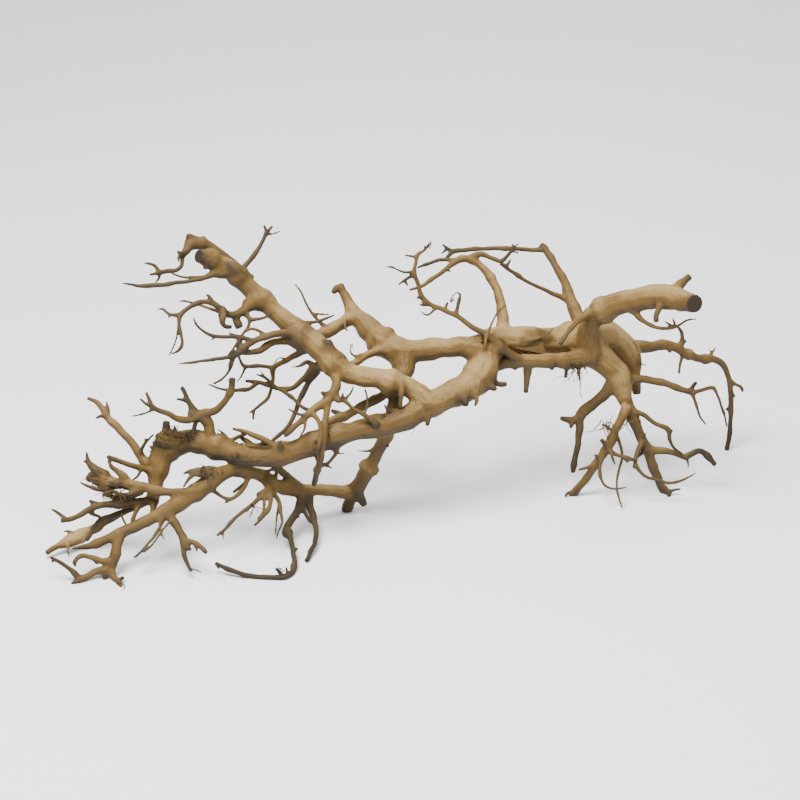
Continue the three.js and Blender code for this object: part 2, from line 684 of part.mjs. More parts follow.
        [630, 410, -56, 9], [642, 414, -52, 5.6], [656, 424, -50, 5], [668, 430, -50, 5.4],
        [669, 439, -52, 4.4], [673, 447, -56, 3.6], [682, 454, -62, 3.2],
      ],
      // Twig hanging from the shin.
      [
        [643, 440, -62, 7], [638, 452, -56, 5.4], [635, 462, -52, 4.6], [640, 471, -50, 4],
        [647, 477, -50, 4], [659, 480, -50, 3.6], [668, 483, -50, 3.6], [683, 480, -50, 3],
        [696, 473, -50, 2],
      ],
    ],
  },
  front_leg: {
    wood: "pale",
    routes: [
      [
        [627, 406, -46, 11], [619, 424, -48, 9.4], [609, 444, -54, 9.4], [596, 464, -63, 8.4],
        [584, 481, -72, 7.6], foot(572, 496, 9.4),
      ],
      [[608, 449, -53, 7], [604, 443, -48, 5], [601, 439, -46, 4.4]],
      [
        [603, 456, -57, 5], [600, 467, -52, 4], [601, 479, -48, 3.6], [605, 486, -46, 3.4],
        [616, 489, -45, 2.8], [627, 487, -44, 2],
      ],
      [
        [616, 434, -52, 5], [620, 445, -58, 3.8], [622, 458, -60, 3.6], [618, 474, -58, 3.4],
        [617, 488, -54, 3], [622, 508, -47, 2.4],
      ],
    ],
  },
};

const wasm = await Module();
wasm.setup();

// A limb's tube along a route, closed at both ends: a ring wherever it has turned or run on far enough.
// grow fattens it all round.
function tubeGeometry(route, sawn, grow) {
  const curve = new THREE.CatmullRomCurve3(route.map(place), false, "centripetal");
  const thickest = Math.max(...route.slice(1).map((point) => point[3]));
  const sides = SIDES.find(([from]) => thickest >= from)[1];
  const length = curve.getLength();
  const fine = Math.ceil(length / FINE_STEP);
  const frames = curve.computeFrenetFrames(fine, false);
  const longestRun = RING_RUN + RING_RUN_SHARE * thickest;

  const vertices = [];
  const ring = (k) => {
    const tip = k === fine && !sawn;
    const centre = curve.getPointAt(k / fine).addScaledVector(frames.tangents[k], k === fine ? grow : 0);
    const width = thicknessAt(route, curve.getUtoTmapping(k / fine)) * (tip ? TIP_SHARE : 1);
    const radius = (width * Math.PI) / (2 * sides * Math.sin(Math.PI / sides));
    for (let i = 0; i < sides; i++) {
      const angle = (2 * Math.PI * i) / sides;
      const lobe = 1 + LOBE * Math.sin(2 * angle + (k * FINE_STEP) / LOBE_TURN + route[0][0]);
      const out = frames.normals[k].clone().multiplyScalar(Math.cos(angle));
      out.addScaledVector(frames.binormals[k], Math.sin(angle));
      vertices.push(centre.clone().addScaledVector(out, radius * lobe + grow));
    }
  };
  let last = 0;
  ring(0);
  for (let k = 1; k <= fine; k++) {
    const turned = frames.tangents[k].angleTo(frames.tangents[last]) > RING_TURN;
    const run = (k - last) * FINE_STEP > longestRun;
    if (!turned && !run && k < fine) continue;
    ring(k);
    last = k;
  }
  return closedTube(vertices, sides);
}

// The wood's thickness at a place along a route, from 0 at its first point to 1 at its last.
function thicknessAt(route, t) {
  const at = t * (route.length - 1);
  const i = Math.min(Math.floor(at), route.length - 2);
  const [from, to] = [route[i], route[i + 1]].map((point) => point[3] * shrinkAt(point));
  return THREE.MathUtils.lerp(from, to, THREE.MathUtils.smoothstep(at - i, 0, 1));
}

// What lies nearer to the viewer than the drawing is smaller than it is drawn.
function shrinkAt([, , toward]) {
  return 1 - toward / VIEW_DISTANCE;
}

// Rings of vertices joined into a closed tube with a flat cap at each end.
function closedTube(vertices, sides) {
  const rings = vertices.length / sides;
  const index = [];
  for (let k = 0; k < rings - 1; k++) {
    for (let i = 0; i < sides; i++) {
      const a = k * sides + i;
      const b = k * sides + ((i + 1) % sides);
      index.push(a, b, a + sides, b, b + sides, a + sides);
    }
  }
  const lastRing = (rings - 1) * sides;
  for (let i = 1; i < sides - 1; i++) {
    index.push(0, i + 1, i);
    index.push(lastRing, lastRing + i, lastRing + i + 1);
  }
  const geometry = new THREE.BufferGeometry().setFromPoints(vertices);
  return geometry.setIndex(index);
}

// A closed geometry as a solid for joining and cutting.
function solidOf(geometry) {
  const merged = mergeVertices(geometry, 1e-4);
  return new wasm.Manifold(
    new wasm.Mesh({
      numProp: 3,
      vertProperties: new Float32Array(merged.attributes.position.array),
      triVerts: new Uint32Array(merged.index.array),
    }),
  );
}

// A limb with all that grows from it, joined in one solid.
function limbSolid(limb, grow) {
  const tubes = limb.routes.map((route, i) => solidOf(tubeGeometry(route, limb.sawn && i === 0, grow)));
  return tubes.reduce((whole, tube) => whole.add(tube));
}

function geometryOf(solid) {
  const mesh = solid.getMesh();
  const geometry = new THREE.BufferGeometry();
  geometry.setAttribute("position", new THREE.BufferAttribute(new Float32Array(mesh.vertProperties), 3));
  return geometry.setIndex(new THREE.BufferAttribute(new Uint32Array(mesh.triVerts), 1));
}

// What lies under the floor, which wears the feet flat.
function underFloor() {
  const side = 2 * DRAWING;
  const slab = new THREE.BoxGeometry(side, side, side).translate(0, 0, -side / 2);
  slab.deleteAttribute("normal");
  slab.deleteAttribute("uv");
  return solidOf(slab);
}

const branch = new THREE.Group();
const floor = underFloor();
let before = null;
for (const [name, limb] of Object.entries(LIMBS)) {
  let solid = limbSolid(limb, 0).subtract(floor);
  if (before) solid = solid.subtract(before);
  const [largest] = solid.decompose().sort((a, b) => b.volume() - a.volume());
  const finish = { color: WOOD[limb.wood], roughness: 0.75, metalness: 0 };
  const mesh = new THREE.Mesh(geometryOf(largest), new THREE.MeshStandardMaterial(finish));
  mesh.name = name;
  branch.add(mesh);
  const grown = limbSolid(limb, SEAM);
  before = before ? before.add(grown) : grown;
}

// The origin goes on the floor under the middle of the branch.
const middle = new THREE.Box3().setFromObject(branch).getCenter(new THREE.Vector3());
branch.position.set(-middle.x, -middle.y, 0);

export default branch;
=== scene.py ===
"""A driftwood branch: sandblasted root wood with a sawn arm, grafted loops and long rootlets."""

import json
import logging
import math
import random
from dataclasses import dataclass, field
from enum import Enum

import bmesh
import bpy
import numpy as np
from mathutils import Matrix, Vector, kdtree, noise

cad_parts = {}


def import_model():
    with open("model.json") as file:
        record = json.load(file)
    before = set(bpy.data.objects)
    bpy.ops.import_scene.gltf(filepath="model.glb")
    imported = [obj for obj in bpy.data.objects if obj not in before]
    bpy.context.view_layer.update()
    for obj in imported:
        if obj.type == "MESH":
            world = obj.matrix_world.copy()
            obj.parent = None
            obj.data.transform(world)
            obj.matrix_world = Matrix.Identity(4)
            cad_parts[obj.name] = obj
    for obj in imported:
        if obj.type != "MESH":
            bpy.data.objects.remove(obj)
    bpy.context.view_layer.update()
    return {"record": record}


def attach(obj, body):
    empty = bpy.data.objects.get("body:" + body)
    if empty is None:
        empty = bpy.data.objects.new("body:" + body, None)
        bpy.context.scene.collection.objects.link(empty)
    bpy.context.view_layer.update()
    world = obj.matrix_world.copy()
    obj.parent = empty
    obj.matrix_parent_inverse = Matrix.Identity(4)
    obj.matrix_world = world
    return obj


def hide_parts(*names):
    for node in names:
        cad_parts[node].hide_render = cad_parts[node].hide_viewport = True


LOG = logging.getLogger("driftwood")

Point = tuple[float, float, float, float]
Route = tuple[Point, ...]
Colour = tuple[float, float, float, float]

MM = 0.001
SEED = 7


class Tone(Enum):
    """The colour that a limb's wood starts from, as a step on the wood's ramp from pale to dark."""

    PALE = 0.0
    BROWN = 0.06
    DARK = 0.20


@dataclass(frozen=True)
class Drawing:
    """The life-size drawing that the routes are read off, in millimetres, and how it stands in the frame."""

    side: float = 800.0
    view_distance: float = 3000.0
    look_down: float = math.radians(25.0)
    floor_drop: float = 123.0
    foot_sink: float = 1.6
    origin_across: float = -0.80
    origin_back: float = 1.72

    def place(self, point: Point) -> Vector:
        """Puts a drawn point where it stands.

        Args:
            point: Across from the left edge, down from the top edge, toward the viewer, thickness.

        Returns:
            The point in the frame, in metres.
        """
        across, down, toward, _ = point
        shrink = self.shrink(point)
        right = (across - self.side / 2) * shrink
        up = (self.side / 2 - down) * shrink
        sine, cosine = math.sin(self.look_down), math.cos(self.look_down)
        back = up * sine - toward * cosine
        height = up * cosine + toward * sine + self.floor_drop
        return Vector((right + self.origin_across, back + self.origin_back, height)) * MM

    def shrink(self, point: Point) -> float:
        """How much smaller a point's wood is than drawn, for being nearer to the viewer.

        Args:
            point: The drawn point.

        Returns:
            The share of the drawn size.
        """
        return 1 - point[2] / self.view_distance

    def at_height(self, across: float, down: float, height: float, thickness: float) -> Point:
        """A drawn point whose height over the floor is known.

        Args:
            across: Distance from the drawing's left edge.
            down: Distance from its top edge.
            height: The point's height over the floor.
            thickness: The wood's thickness there.

        Returns:
            The point, with the distance toward the viewer that follows.
        """
        up = self.side / 2 - down
        sine, cosine = math.sin(self.look_down), math.cos(self.look_down)
        toward = (height - self.floor_drop - up * cosine) / (sine - up * cosine / self.view_distance)
        return across, down, toward, thickness

    def foot(self, across: float, down: float, thickness: float) -> Point:
        """The end of a rootlet that the branch stands on, a little below the floor it is worn flat at.

        Args:
            across: Distance from the drawing's left edge.
            down: Distance from its top edge.
            thickness: The wood's thickness there.

        Returns:
            The point.
        """
        return self.at_height(across, down, -self.foot_sink, thickness)


DRAWING = Drawing()


@dataclass(frozen=True)
class Limb:
    """A limb with all that grows from it; its first route is its own wood."""

    name: str
    tone: Tone
    routes: tuple[Route, ...]
    sawn: bool = False


def route(*points: Point) -> Route:
    """Gathers a route's points.

    Args:
        points: The points, from the wood that carries the route to its tip.

    Returns:
        The route.
    """
    return points


LIMBS: tuple[Limb, ...] = (
    Limb(
        "stem",
        Tone.PALE,
        (
            # Trunk, from the knee to the cut stub behind the crown.
            route(
                (482, 354, 6, 30), (490, 343, -8, 30), (508, 341, -22, 27), (535, 342, -34, 28),
                (562, 341, -46, 30), (588, 338, -58, 32), (608, 337, -68, 31), (623, 347, -72, 27),
                (631, 362, -72, 19), (635, 378, -74, 12), (637, 394, -76, 9),
            ),
            # Crown, down to the legs.
            route(
                (588, 352, -44, 26), (604, 361, -46, 27), (616, 373, -50, 25), (622, 390, -53, 18),
                (626, 402, -54, 14),
            ),
            # Wisp on the trunk.
            route(
                (520, 344, -18, 5), (528, 341, -14, 3), (540, 338, -16, 2.6), (549, 333, -18, 2),
                (553, 328, -18, 1.6),
            ),
            route((636, 359, -70, 4), (642, 364, -66, 2), (647, 366, -64, 1.8)),
        ),
    ),
    Limb(
        "sawn_arm",
        Tone.PALE,
        (
            route(
                (590, 356, -36, 24), (587, 336, -30, 21), (595, 318, -20, 22), (614, 305, -4, 24),
                (640, 299, 14, 24), (665, 297, 34, 21), (682, 300, 52, 19.5), (695, 304, 76, 19),
            ),
            # Stub above, stub below.
            route((668, 294, 36, 12), (678, 286, 34, 9), (685, 280, 33, 7.5), (690, 276, 32, 7.5)),
            route((661, 300, 36, 9), (659, 309, 44, 7), (656, 316, 48, 6), (656, 322, 50, 6)),
            # Rootlet swinging under the arm.
            route(
                (626, 305, 8, 12), (636, 314, 12, 6), (646, 323, 16, 4.6), (660, 328, 20, 4.2),
                (672, 328, 22, 3.8), (681, 324, 24, 3.2), (687, 320, 26, 3), (697, 319, 30, 2.2),
            ),
            route((675, 328, 22, 3), (674, 322, 26, 3), (672, 317, 28, 2)),
            route((675, 327, 22, 3), (669, 324, 20, 3), (664, 321, 18, 2)),
            # Side root from the scar.
            route(
                (590, 312, -14, 12), (581, 319, -2, 6.5), (572, 327, 2, 5.4), (565, 336, 4, 4.6),
                (560, 345, 5, 5),
            ),
        ),
        sawn=True,
    ),
    Limb(
        "knee",
        Tone.PALE,
        (
            # From the trunk's end down and left to the fork with the middle limb.
            route(
                (478, 347, 10, 26), (484, 358, 10, 30), (481, 372, 13, 33), (468, 386, 17, 29),
                (450, 395, 21, 25), (434, 403, 26, 27), (424, 408, 30, 26),
            ),
            # Broken stubs underneath.
            route((490, 380, 12, 14), (498, 384, 14, 6), (507, 384, 16, 5.5)),
            route((490, 385, 20, 10), (496, 390, 24, 5)),
            route((464, 392, 26, 14), (465, 401, 32, 8), (466, 406, 34, 6.5)),
            route((474, 390, 24, 12), (477, 400, 28, 5), (475, 406, 30, 3)),
            route((472, 378, 20, 8), (468, 373, 22, 3)),
            # Sprig standing in front.
            route(
                (484, 352, 20, 6), (485, 345, 26, 4), (487, 336, 22, 3.6), (492, 323, 14, 3),
                (498, 312, 8, 2.6), (507, 304, 0, 2),
            ),
        ),
    ),
    Limb(
        "front_bar",
        Tone.BROWN,
        (
            route(
                (594, 357, -36, 18), (572, 360, -25, 16), (546, 361, -16, 14), (522, 361, -11, 13),
                (506, 363, -10, 13), (492, 367, -10, 12),
            ),
            route((528, 363, -16, 9), (527, 378, -20, 7), (526, 393, -22, 5.6)),
            route((515, 364, -10, 8), (515, 370, -8, 4)),
            route((552, 363, -14, 9), (552, 370, -12, 4.5)),
            route((567, 363, -26, 8), (566, 372, -26, 4.5), (565, 378, -25, 4)),
            # Heart of the hair tuft.
            route(
                (580, 362, -30, 6), (579, 372, -26, 3.2), (580, 383, -23, 2.4), (580, 391, -22, 2),
                (582, 399, -21, 1.6),
            ),
        ),
    ),
    Limb(
        "lower_limb",
        Tone.BROWN,
        (
            route(
                (430, 404, 27, 25), (405, 418, 35, 25), (380, 426, 42, 23), (350, 432, 48, 20),
                (320, 441, 50, 22), (290, 452, 52, 23), (265, 457, 52, 21), (240, 455, 50, 20),
                (215, 447, 46, 20), (195, 441, 42, 22), (177, 443, 38, 25),
            ),
            # Thorn, knot and broken stub.
            route((427, 412, 34, 14), (428, 421, 36, 6), (427, 426, 37, 4)),
            route((280, 452, 58, 12), (280, 446, 66, 6), (280, 440, 68, 3)),
            route((234, 456, 58, 12), (235, 457, 66, 8), (235, 455, 70, 4)),
            route((394, 412, 42, 8), (390, 411, 47, 5), (386, 408, 50, 3), (384, 404, 51, 2)),
        ),
    ),
    Limb(
        "left_column",
        Tone.BROWN,
        (
            route(
                (184, 442, 38, 24), (170, 447, 36, 27), (161, 459, 37, 23), (158, 472, 40, 18),
                (155, 487, 44, 15), (153, 502, 50, 14),
            ),
            # Burl with its stub.
            route((178, 441, 46, 18), (166, 439, 50, 18), (157, 440, 48, 12)),
            route((168, 440, 46, 12), (167, 430, 48, 9), (166, 421, 50, 8)),
            route((176, 436, 48, 8), (175, 430, 50, 4), (174, 425, 50, 2.5)),
        ),
    ),
    Limb(
        "middle_limb",
        Tone.BROWN,
        (
            route(
                (430, 404, 30, 22), (413, 390, 33, 21), (393, 382, 35, 20), (371, 377, 38, 20),
                (350, 374, 40, 21), (335, 364, 40, 24), (321, 350, 38, 25), (305, 335, 34, 23),
            ),
            route((330, 356, 44, 16), (329, 345, 46, 11), (327, 340, 47, 9)),
            route((338, 362, 42, 8), (343, 357, 46, 4), (345, 355, 48, 2.5)),
            # Knotted strut to the lower limb.
            route((401, 380, 42, 7), (402, 390, 46, 6), (401, 400, 45, 5), (400, 408, 44, 5)),
        ),
    ),
    Limb(
        "upper_limb",
        Tone.BROWN,
        (
            route(
                (306, 336, 34, 23), (285, 320, 30, 20), (265, 302, 26, 18), (247, 285, 27, 19),
                (230, 270, 33, 20), (213, 260, 43, 17), (198, 256, 56, 14),
            ),
            # Ridge on top and the fork-tipped sprig.
            route((246, 280, 28, 14), (236, 269, 38, 12), (227, 264, 42, 8)),
            route(
                (243, 277, 24, 9), (243, 269, 22, 6), (251, 259, 19, 5), (258, 249, 16, 5),
                (263, 240, 14, 4.6), (267, 231, 12, 5),
            ),
            route((267, 233, 12, 4), (265, 228, 13, 3.2), (264, 225, 14, 3)),
            route((267, 233, 12, 4), (270, 229, 10, 3.4), (273, 226, 9, 3)),
            route((266, 234, 12, 3.4), (273, 234, 12, 2.4), (281, 231, 12, 1.8)),
            # Long rootlet to the left, with its companion.
            route(
                (224, 272, 38, 14), (213, 275, 44, 8), (203, 278, 48, 5.6), (190, 281, 52, 4.8),
                (175, 283, 56, 4.6), (158, 285, 60, 4.6), (140, 286, 64, 4.2), (129, 284, 67, 3.2),
                (121, 283, 69, 2),
            ),
            route(
                (206, 277, 47, 4), (196, 277, 44, 3.4), (184, 277, 42, 3.2), (176, 275, 41, 3),
                (171, 273, 40, 2.4),
            ),
            route((212, 262, 40, 8), (207, 265, 42, 5), (204, 269, 43, 4)),
            # Sprig on the upper side.
            route(
                (304, 329, 34, 8), (303, 324, 32, 4.6), (315, 322, 30, 4), (325, 319, 29, 3.4),
                (335, 315, 28, 2.6),
            ),
        ),
        sawn=True,
    ),
    Limb(
        "upper_twin",
        Tone.BROWN,
        (
            route(
                (252, 280, 12, 10), (238, 268, 10, 10), (224, 257, 10, 9), (209, 246, 12, 10),
                (201, 243, 14, 12), (192, 243, 17, 16), (187, 249, 20, 9), (183, 257, 22, 5),
                (182, 265, 24, 4.6), (177, 270, 26, 4.6), (167, 271, 28, 4.6), (158, 273, 30, 5.4),
            ),
            route((206, 245, 12, 6), (204, 239, 12, 5), (203, 236, 12, 4)),
            route((159, 272, 30, 5), (155, 266, 32, 4), (150, 264, 34, 3.6), (144, 263, 36, 2.6)),
            route((159, 273, 30, 5), (154, 274, 34, 3.6), (149, 275, 36, 3)),
            route((159, 273, 30, 4), (159, 278, 28, 3.2), (155, 283, 26, 2.4)),
            route((188, 250, 20, 6), (181, 253, 26, 4), (177, 251, 28, 3.4)),
            route((184, 254, 22, 5), (179, 257, 27, 4), (179, 262, 29, 2.6)),
            route((194, 240, 18, 10), (190, 237, 20, 8), (186, 236, 21, 6)),
        ),
    ),
    Limb(
        "claw_branch",
        Tone.BROWN,
        (
            route(
                (262, 304, 28, 16), (251, 304, 34, 14), (243, 311, 42, 10), (234, 315, 48, 8),
                (226, 314, 52, 7), (221, 309, 56, 8),
            ),
            route((236, 314, 47, 8), (236, 320, 46, 8), (238, 324, 45, 9), (240, 328, 44, 8)),
            # Arm that ends in drooping claws.
            route(
                (223, 311, 55, 7), (214, 304, 58, 6.4), (205, 302, 60, 5.6), (196, 304, 63, 5.4),
                (187, 309, 66, 5.2), (180, 315, 69, 6), (179, 324, 72, 4.4), (181, 335, 74, 3.8),
                (182, 345, 75, 3.8), (178, 351, 75, 3.4), (172, 354, 74, 2.4),
            ),
            route(
                (180, 318, 70, 4), (178, 330, 73, 2.8), (176, 340, 72, 2.8), (173, 348, 72, 2.6),
                (169, 356, 72, 2),
            ),
            route(
                (181, 315, 69, 6), (172, 315, 68, 4), (167, 313, 67, 3.4), (163, 309, 66, 3),
                (157, 309, 65, 1.8),
            ),
            route((170, 315, 68, 3), (168, 319, 70, 2)),
            route((215, 305, 58, 5), (211, 299, 60, 4), (206, 294, 61, 2.6)),
            route((211, 299, 60, 3), (209, 294, 58, 2)),
            route(
                (222, 313, 52, 5), (213, 310, 44, 4), (203, 306, 40, 3.6), (193, 303, 38, 3),
                (184, 301, 37, 2.8), (178, 301, 36, 2),
            ),
            # Knuckle.
            route(
                (222, 309, 57, 7), (224, 316, 60, 6), (222, 321, 61, 6), (225, 326, 60, 5),
                (232, 327, 56, 5),
            ),
            route((223, 312, 56, 6), (219, 317, 60, 4.6)),
            # Sprig in front of the limb.
            route(
                (245, 312, 41, 7), (250, 319, 44, 4.8), (258, 319, 44, 4.2), (266, 317, 42, 3.6),
                (272, 313, 40, 2.4),
            ),
            route((250, 319, 44, 4.4), (248, 327, 46, 4), (243, 334, 48, 3.8)),
        ),
    ),
    Limb(
        "bridge",
        Tone.PALE,
        (
            route(
                (480, 349, 10, 30), (462, 347, 10, 22), (440, 348, 8, 19), (416, 351, 5, 22),
                (396, 350, 0, 26), (380, 340, -6, 24), (366, 325, -12, 21), (354, 313, -18, 17),
                (348, 301, -22, 11), (343, 291, -25, 9), (340, 284, -27, 8),
            ),
            # Lobe that closes on the middle limb, and the two grafts left of it.
            route((402, 354, 2, 24), (404, 368, 8, 22), (402, 382, 22, 15)),
            route(
                (356, 315, -16, 16), (343, 323, -12, 13), (328, 331, -4, 12), (314, 337, 8, 11),
                (306, 340, 20, 10),
            ),
            route((390, 349, 4, 14), (374, 352, 12, 9), (361, 359, 20, 8), (349, 368, 32, 8)),
            # Cap of the knuckle and small thorns.
            route((343, 289, -24, 8), (337, 288, -22, 7), (333, 293, -20, 6)),
            route((345, 320, -8, 6), (345, 327, -2, 3.6), (348, 332, 0, 2)),
            # Sprig with a long tip.
            route(
                (330, 329, -4, 7), (322, 324, 0, 4.4), (314, 316, 2, 3.8), (308, 307, 3, 3),
                (304, 299, 4, 3), (301, 292, 5, 2.8), (295, 284, 6, 2.2),
            ),
            route((312, 314, 2, 3.4), (319, 314, 0, 3), (330, 315, -2, 2.2)),
            route((362, 355, 19, 5), (355, 356, 24, 3), (351, 353, 26, 2.6), (351, 345, 27, 1.8)),
        ),
    ),
    Limb(
        "prop_leg",
        Tone.BROWN,
        (
            route(
                (397, 384, 28, 15), (395, 400, 22, 14), (390, 424, 10, 14), (383, 441, 1, 13.6),
                (374, 458, -9, 13), (365, 475, -22, 13), (356, 491, -36, 17),
            ),
            # Broken foot with two lobes.
            route((356, 490, -36, 17), (350, 502, -44, 11), DRAWING.foot(347, 512, 9.5)),
            route((357, 492, -36, 14), (362, 501, -38, 9), (365, 506, -38, 6.5)),
            route((352, 489, -34, 12), (350, 484, -32, 5)),
            # Pale root behind, to the lower limb.
            route(
                (396, 388, 26, 12), (380, 397, 12, 10), (362, 407, 6, 10), (345, 416, 8, 9.4),
                (333, 421, 18, 9), (325, 427, 34, 8),
            ),
            route((345, 416, 8, 7), (337, 413, 4, 6), (331, 410, 2, 4)),
            route((375, 449, -4, 5), (368, 451, -1, 3), (357, 451, 2, 1.8)),
            route((384, 443, 2, 7), (389, 447, 6, 3)),
        ),
    ),
    Limb(
        "front_root",
        Tone.BROWN,
        (
            route(
                (352, 492, -36, 16), (336, 491, -28, 13), (313, 490, -13, 12), (291, 490, 3, 13),
                (275, 485, 15, 13.4), (262, 476, 27, 13), (248, 471, 38, 13), (234, 470, 46, 14),
            ),
            # Dark strut up to the lower limb.
            route((298, 488, -2, 13), (289, 478, 8, 8.4), (279, 468, 20, 8), (272, 460, 34, 8)),
            route(
                (275, 487, 16, 6), (276, 476, 22, 4.4), (276, 470, 25, 3.6), (268, 471, 28, 3),
                (264, 475, 30, 2.6),
            ),
        ),
    ),
    Limb(
        "hook_root",
        Tone.DARK,
        (
            route(
                (304, 490, -9, 14), (302, 501, 0, 11), (297, 511, 9, 9), (291, 521, 19, 8.4),
                (287, 530, 28, 8), (290, 539, 38, 6.2), (293, 551, 50, 5.8), (294, 563, 64, 5.8),
                (292, 572, 74, 6), DRAWING.at_height(286, 577, 2.4, 5.6),
                DRAWING.at_height(267, 577.5, 2, 5.6), DRAWING.at_height(250, 576, 2.2, 5.6),
                DRAWING.at_height(238, 573, 5, 5.2), DRAWING.at_height(226, 568, 8, 5),
                DRAWING.at_height(215, 563, 12, 4.6),
            ),
            route((284, 577, 79, 5), (279, 572, 80, 4), (275, 568, 80, 3)),
            route((290, 575, 76, 5), (287, 571, 79, 3.4), (286, 567, 80, 2.4)),
            route((293, 549, 48, 4), (298, 549, 50, 3.4)),
            route((217, 564, 92, 4.4), (219, 569, 92, 3)),
            # Straight root beside the hook.
            route(
                (308, 492, -11, 12), (310, 507, -4, 9), (315, 522, 8, 6.4), (316, 537, 24, 5.8),
                (312, 550, 40, 5.2), (306, 561, 54, 5),
            ),
            route((301, 504, 2, 7), (306, 515, 8, 4.6), (311, 523, 12, 3.8)),
            route((298, 509, 8, 5), (297, 515, 12, 3), (300, 518, 14, 2)),
        ),
    ),
    Limb(
        "spray_root",
        Tone.BROWN,
        (
            route(
                (264, 478, 28, 10), (269, 488, 34, 7), (271, 500, 42, 5.2), (269, 509, 46, 4.8),
                (262, 518, 50, 4.2), (254, 526, 54, 3),
            ),
            route(
                (270, 488, 33, 7), (278, 500, 34, 4.8), (281, 512, 40, 4.2), (282, 522, 45, 3.2),
                (278, 533, 50, 2.6), (276, 540, 54, 2),
            ),
            route((279, 505, 36, 4), (277, 516, 38, 3), (276, 528, 44, 2.4), (275, 536, 48, 2)),
            # Knob with the long straight rootlet.
            route((270, 490, 35, 9), (262, 494, 40, 9), (257, 496, 42, 7)),
            route(
                (262, 496, 42, 6), (249, 507, 52, 4.8), (236, 517, 60, 4.2), (227, 527, 66, 3.8),
                (217, 536, 72, 3.2),
            ),
            route((224, 530, 67, 3), (223, 535, 70, 2.4), (223, 540, 72, 2)),
            route((266, 494, 40, 5), (264, 503, 45, 3.4), (263, 511, 48, 2.4), (257, 519, 50, 2)),
        ),
    ),
    Limb(
        "left_root",
        Tone.BROWN,
        (
            route(
                (246, 470, 40, 12), (232, 470, 48, 14), (217, 477, 56, 17), (203, 487, 62, 18),
                (185, 500, 68, 15.6), (165, 510, 72, 14), (143, 522, 77, 12), (123, 532, 80, 12),
                (105, 540, 82, 9.4), (90, 546, 84, 6.6), (72, 549, 86, 3),
            ),
            # Hollow knob and its splinters.
            route(
                (218, 474, 58, 15), (209, 470, 64, 9.6), (201, 470, 67, 6.6), (191, 471, 70, 5),
                (183, 474, 72, 2.6),
            ),
            route((199, 471, 68, 5), (191, 477, 72, 4.6), (183, 487, 76, 3)),
            route((213, 478, 62, 9), (203, 476, 70, 5), (196, 476, 73, 3)),
            # Loop twig underneath.
            route(
                (249, 474, 36, 8), (246, 484, 42, 5), (240, 493, 48, 5), (231, 499, 54, 4.6),
                (222, 497, 58, 4), (212, 490, 60, 5),
            ),
            route((247, 481, 40, 4), (240, 487, 38, 4), (233, 493, 40, 3.6)),
            route((230, 499, 54, 4), (228, 502, 56, 2.4), (224, 503, 58, 1.8)),
            route((148, 520, 76, 7), (148, 527, 76, 4)),
        ),
    ),
    Limb(
        "left_leg",
        Tone.BROWN,
        (
            route((119, 533, 80, 14), (117, 546, 83, 10.4), (114, 559, 84, 10.6), (109, 569, 82, 12)),
            route((110, 567, 82, 11), (106, 574, 82, 8), DRAWING.foot(104, 581, 4.4)),
            route(
                (111, 568, 83, 9), (114, 577, 86, 6.6), (118, 582, 90, 5.6),
                DRAWING.foot(121, 589, 4.4),
            ),
            route((117, 581, 89, 5), (121, 579, 90, 4.6), (124, 577, 91, 4.4)),
            route(
                (108, 569, 83, 10), (96, 572, 84, 7.4), (84, 578, 88, 6.8), DRAWING.foot(71, 585, 5.6),
            ),
            route(
                (80, 579, 88, 7), (74, 573, 90, 6), (66, 566, 92, 5), (58, 561, 94, 4.6),
                (50, 557, 96, 3.4),
            ),
            route((54, 560, 95, 3.4), (51, 563, 96, 2.4)),
            route(
                (113, 560, 84, 8), (101, 561, 86, 6.6), (90, 557, 88, 5.4), (81, 556, 90, 5.4),
                (75, 562, 92, 5), (76, 567, 93, 3),
            ),
            route((100, 561, 86, 5), (95, 564, 86, 3)),
        ),
    ),
    Limb(
        "left_fork_root",
        Tone.BROWN,
        (
            route(
                (166, 511, 72, 12), (173, 520, 75, 9), (181, 533, 79, 8.4), (184, 542, 81, 9),
                (184, 553, 84, 5.8), (188, 565, 86, 4.6), (191, 572, 88, 3),
            ),
            route((184, 541, 81, 8), (193, 542, 86, 6), (201, 547, 90, 5.4), (207, 553, 94, 4.6)),
            route((185, 545, 83, 7), (191, 550, 87, 4)),
            route((195, 544, 87, 4), (197, 552, 90, 2)),
            route((189, 569, 87, 2.8), (196, 570, 89, 1.8), (202, 573, 91, 1.4)),
            # Pair of thin strands.
            route((166, 515, 76, 5), (158, 530, 80, 3.4), (148, 544, 84, 3.6), (134, 558, 88, 3)),
            route((170, 521, 80, 3), (162, 531, 84, 2.6), (151, 546, 87, 2.8), (143, 553, 88, 2.4)),
            route((158, 514, 78, 4), (160, 527, 82, 2.6), (164, 540, 86, 2)),
        ),
    ),
    Limb(
        "left_bar",
        Tone.BROWN,
        (
            route(
                (208, 486, 68, 9), (195, 491, 72, 7.4), (176, 492, 72, 8), (157, 491, 69, 9),
                (141, 486, 66, 10), (126, 484, 63, 11), (112, 484, 60, 11),
            ),
            # Broken slab with its spikes.
            route((116, 484, 60, 12), (104, 480, 56, 16), (93, 477, 52, 13), (87, 481, 50, 6)),
            route(
                (106, 476, 58, 12), (96, 469, 58, 8), (89, 463, 58, 6), (87, 456, 58, 3.6),
                (87, 451, 58, 2.2),
            ),
            route((90, 464, 58, 4), (83, 461, 59, 2)),
            route((128, 482, 62, 9), (120, 473, 64, 6.6), (111, 466, 66, 5.6), (110, 463, 66, 4)),
            route((110, 488, 60, 7), (99, 490, 64, 4.6), (89, 486, 66, 4), (79, 482, 68, 2.4)),
            # Twisted strands below the bar.
            route((140, 489, 67, 7), (126, 495, 70, 5), (112, 492, 70, 4.6), (102, 495, 68, 5.4)),
            route((143, 492, 66, 6), (130, 497, 64, 5), (116, 497, 63, 5), (104, 494, 64, 5)),
        ),
    ),
    Limb(
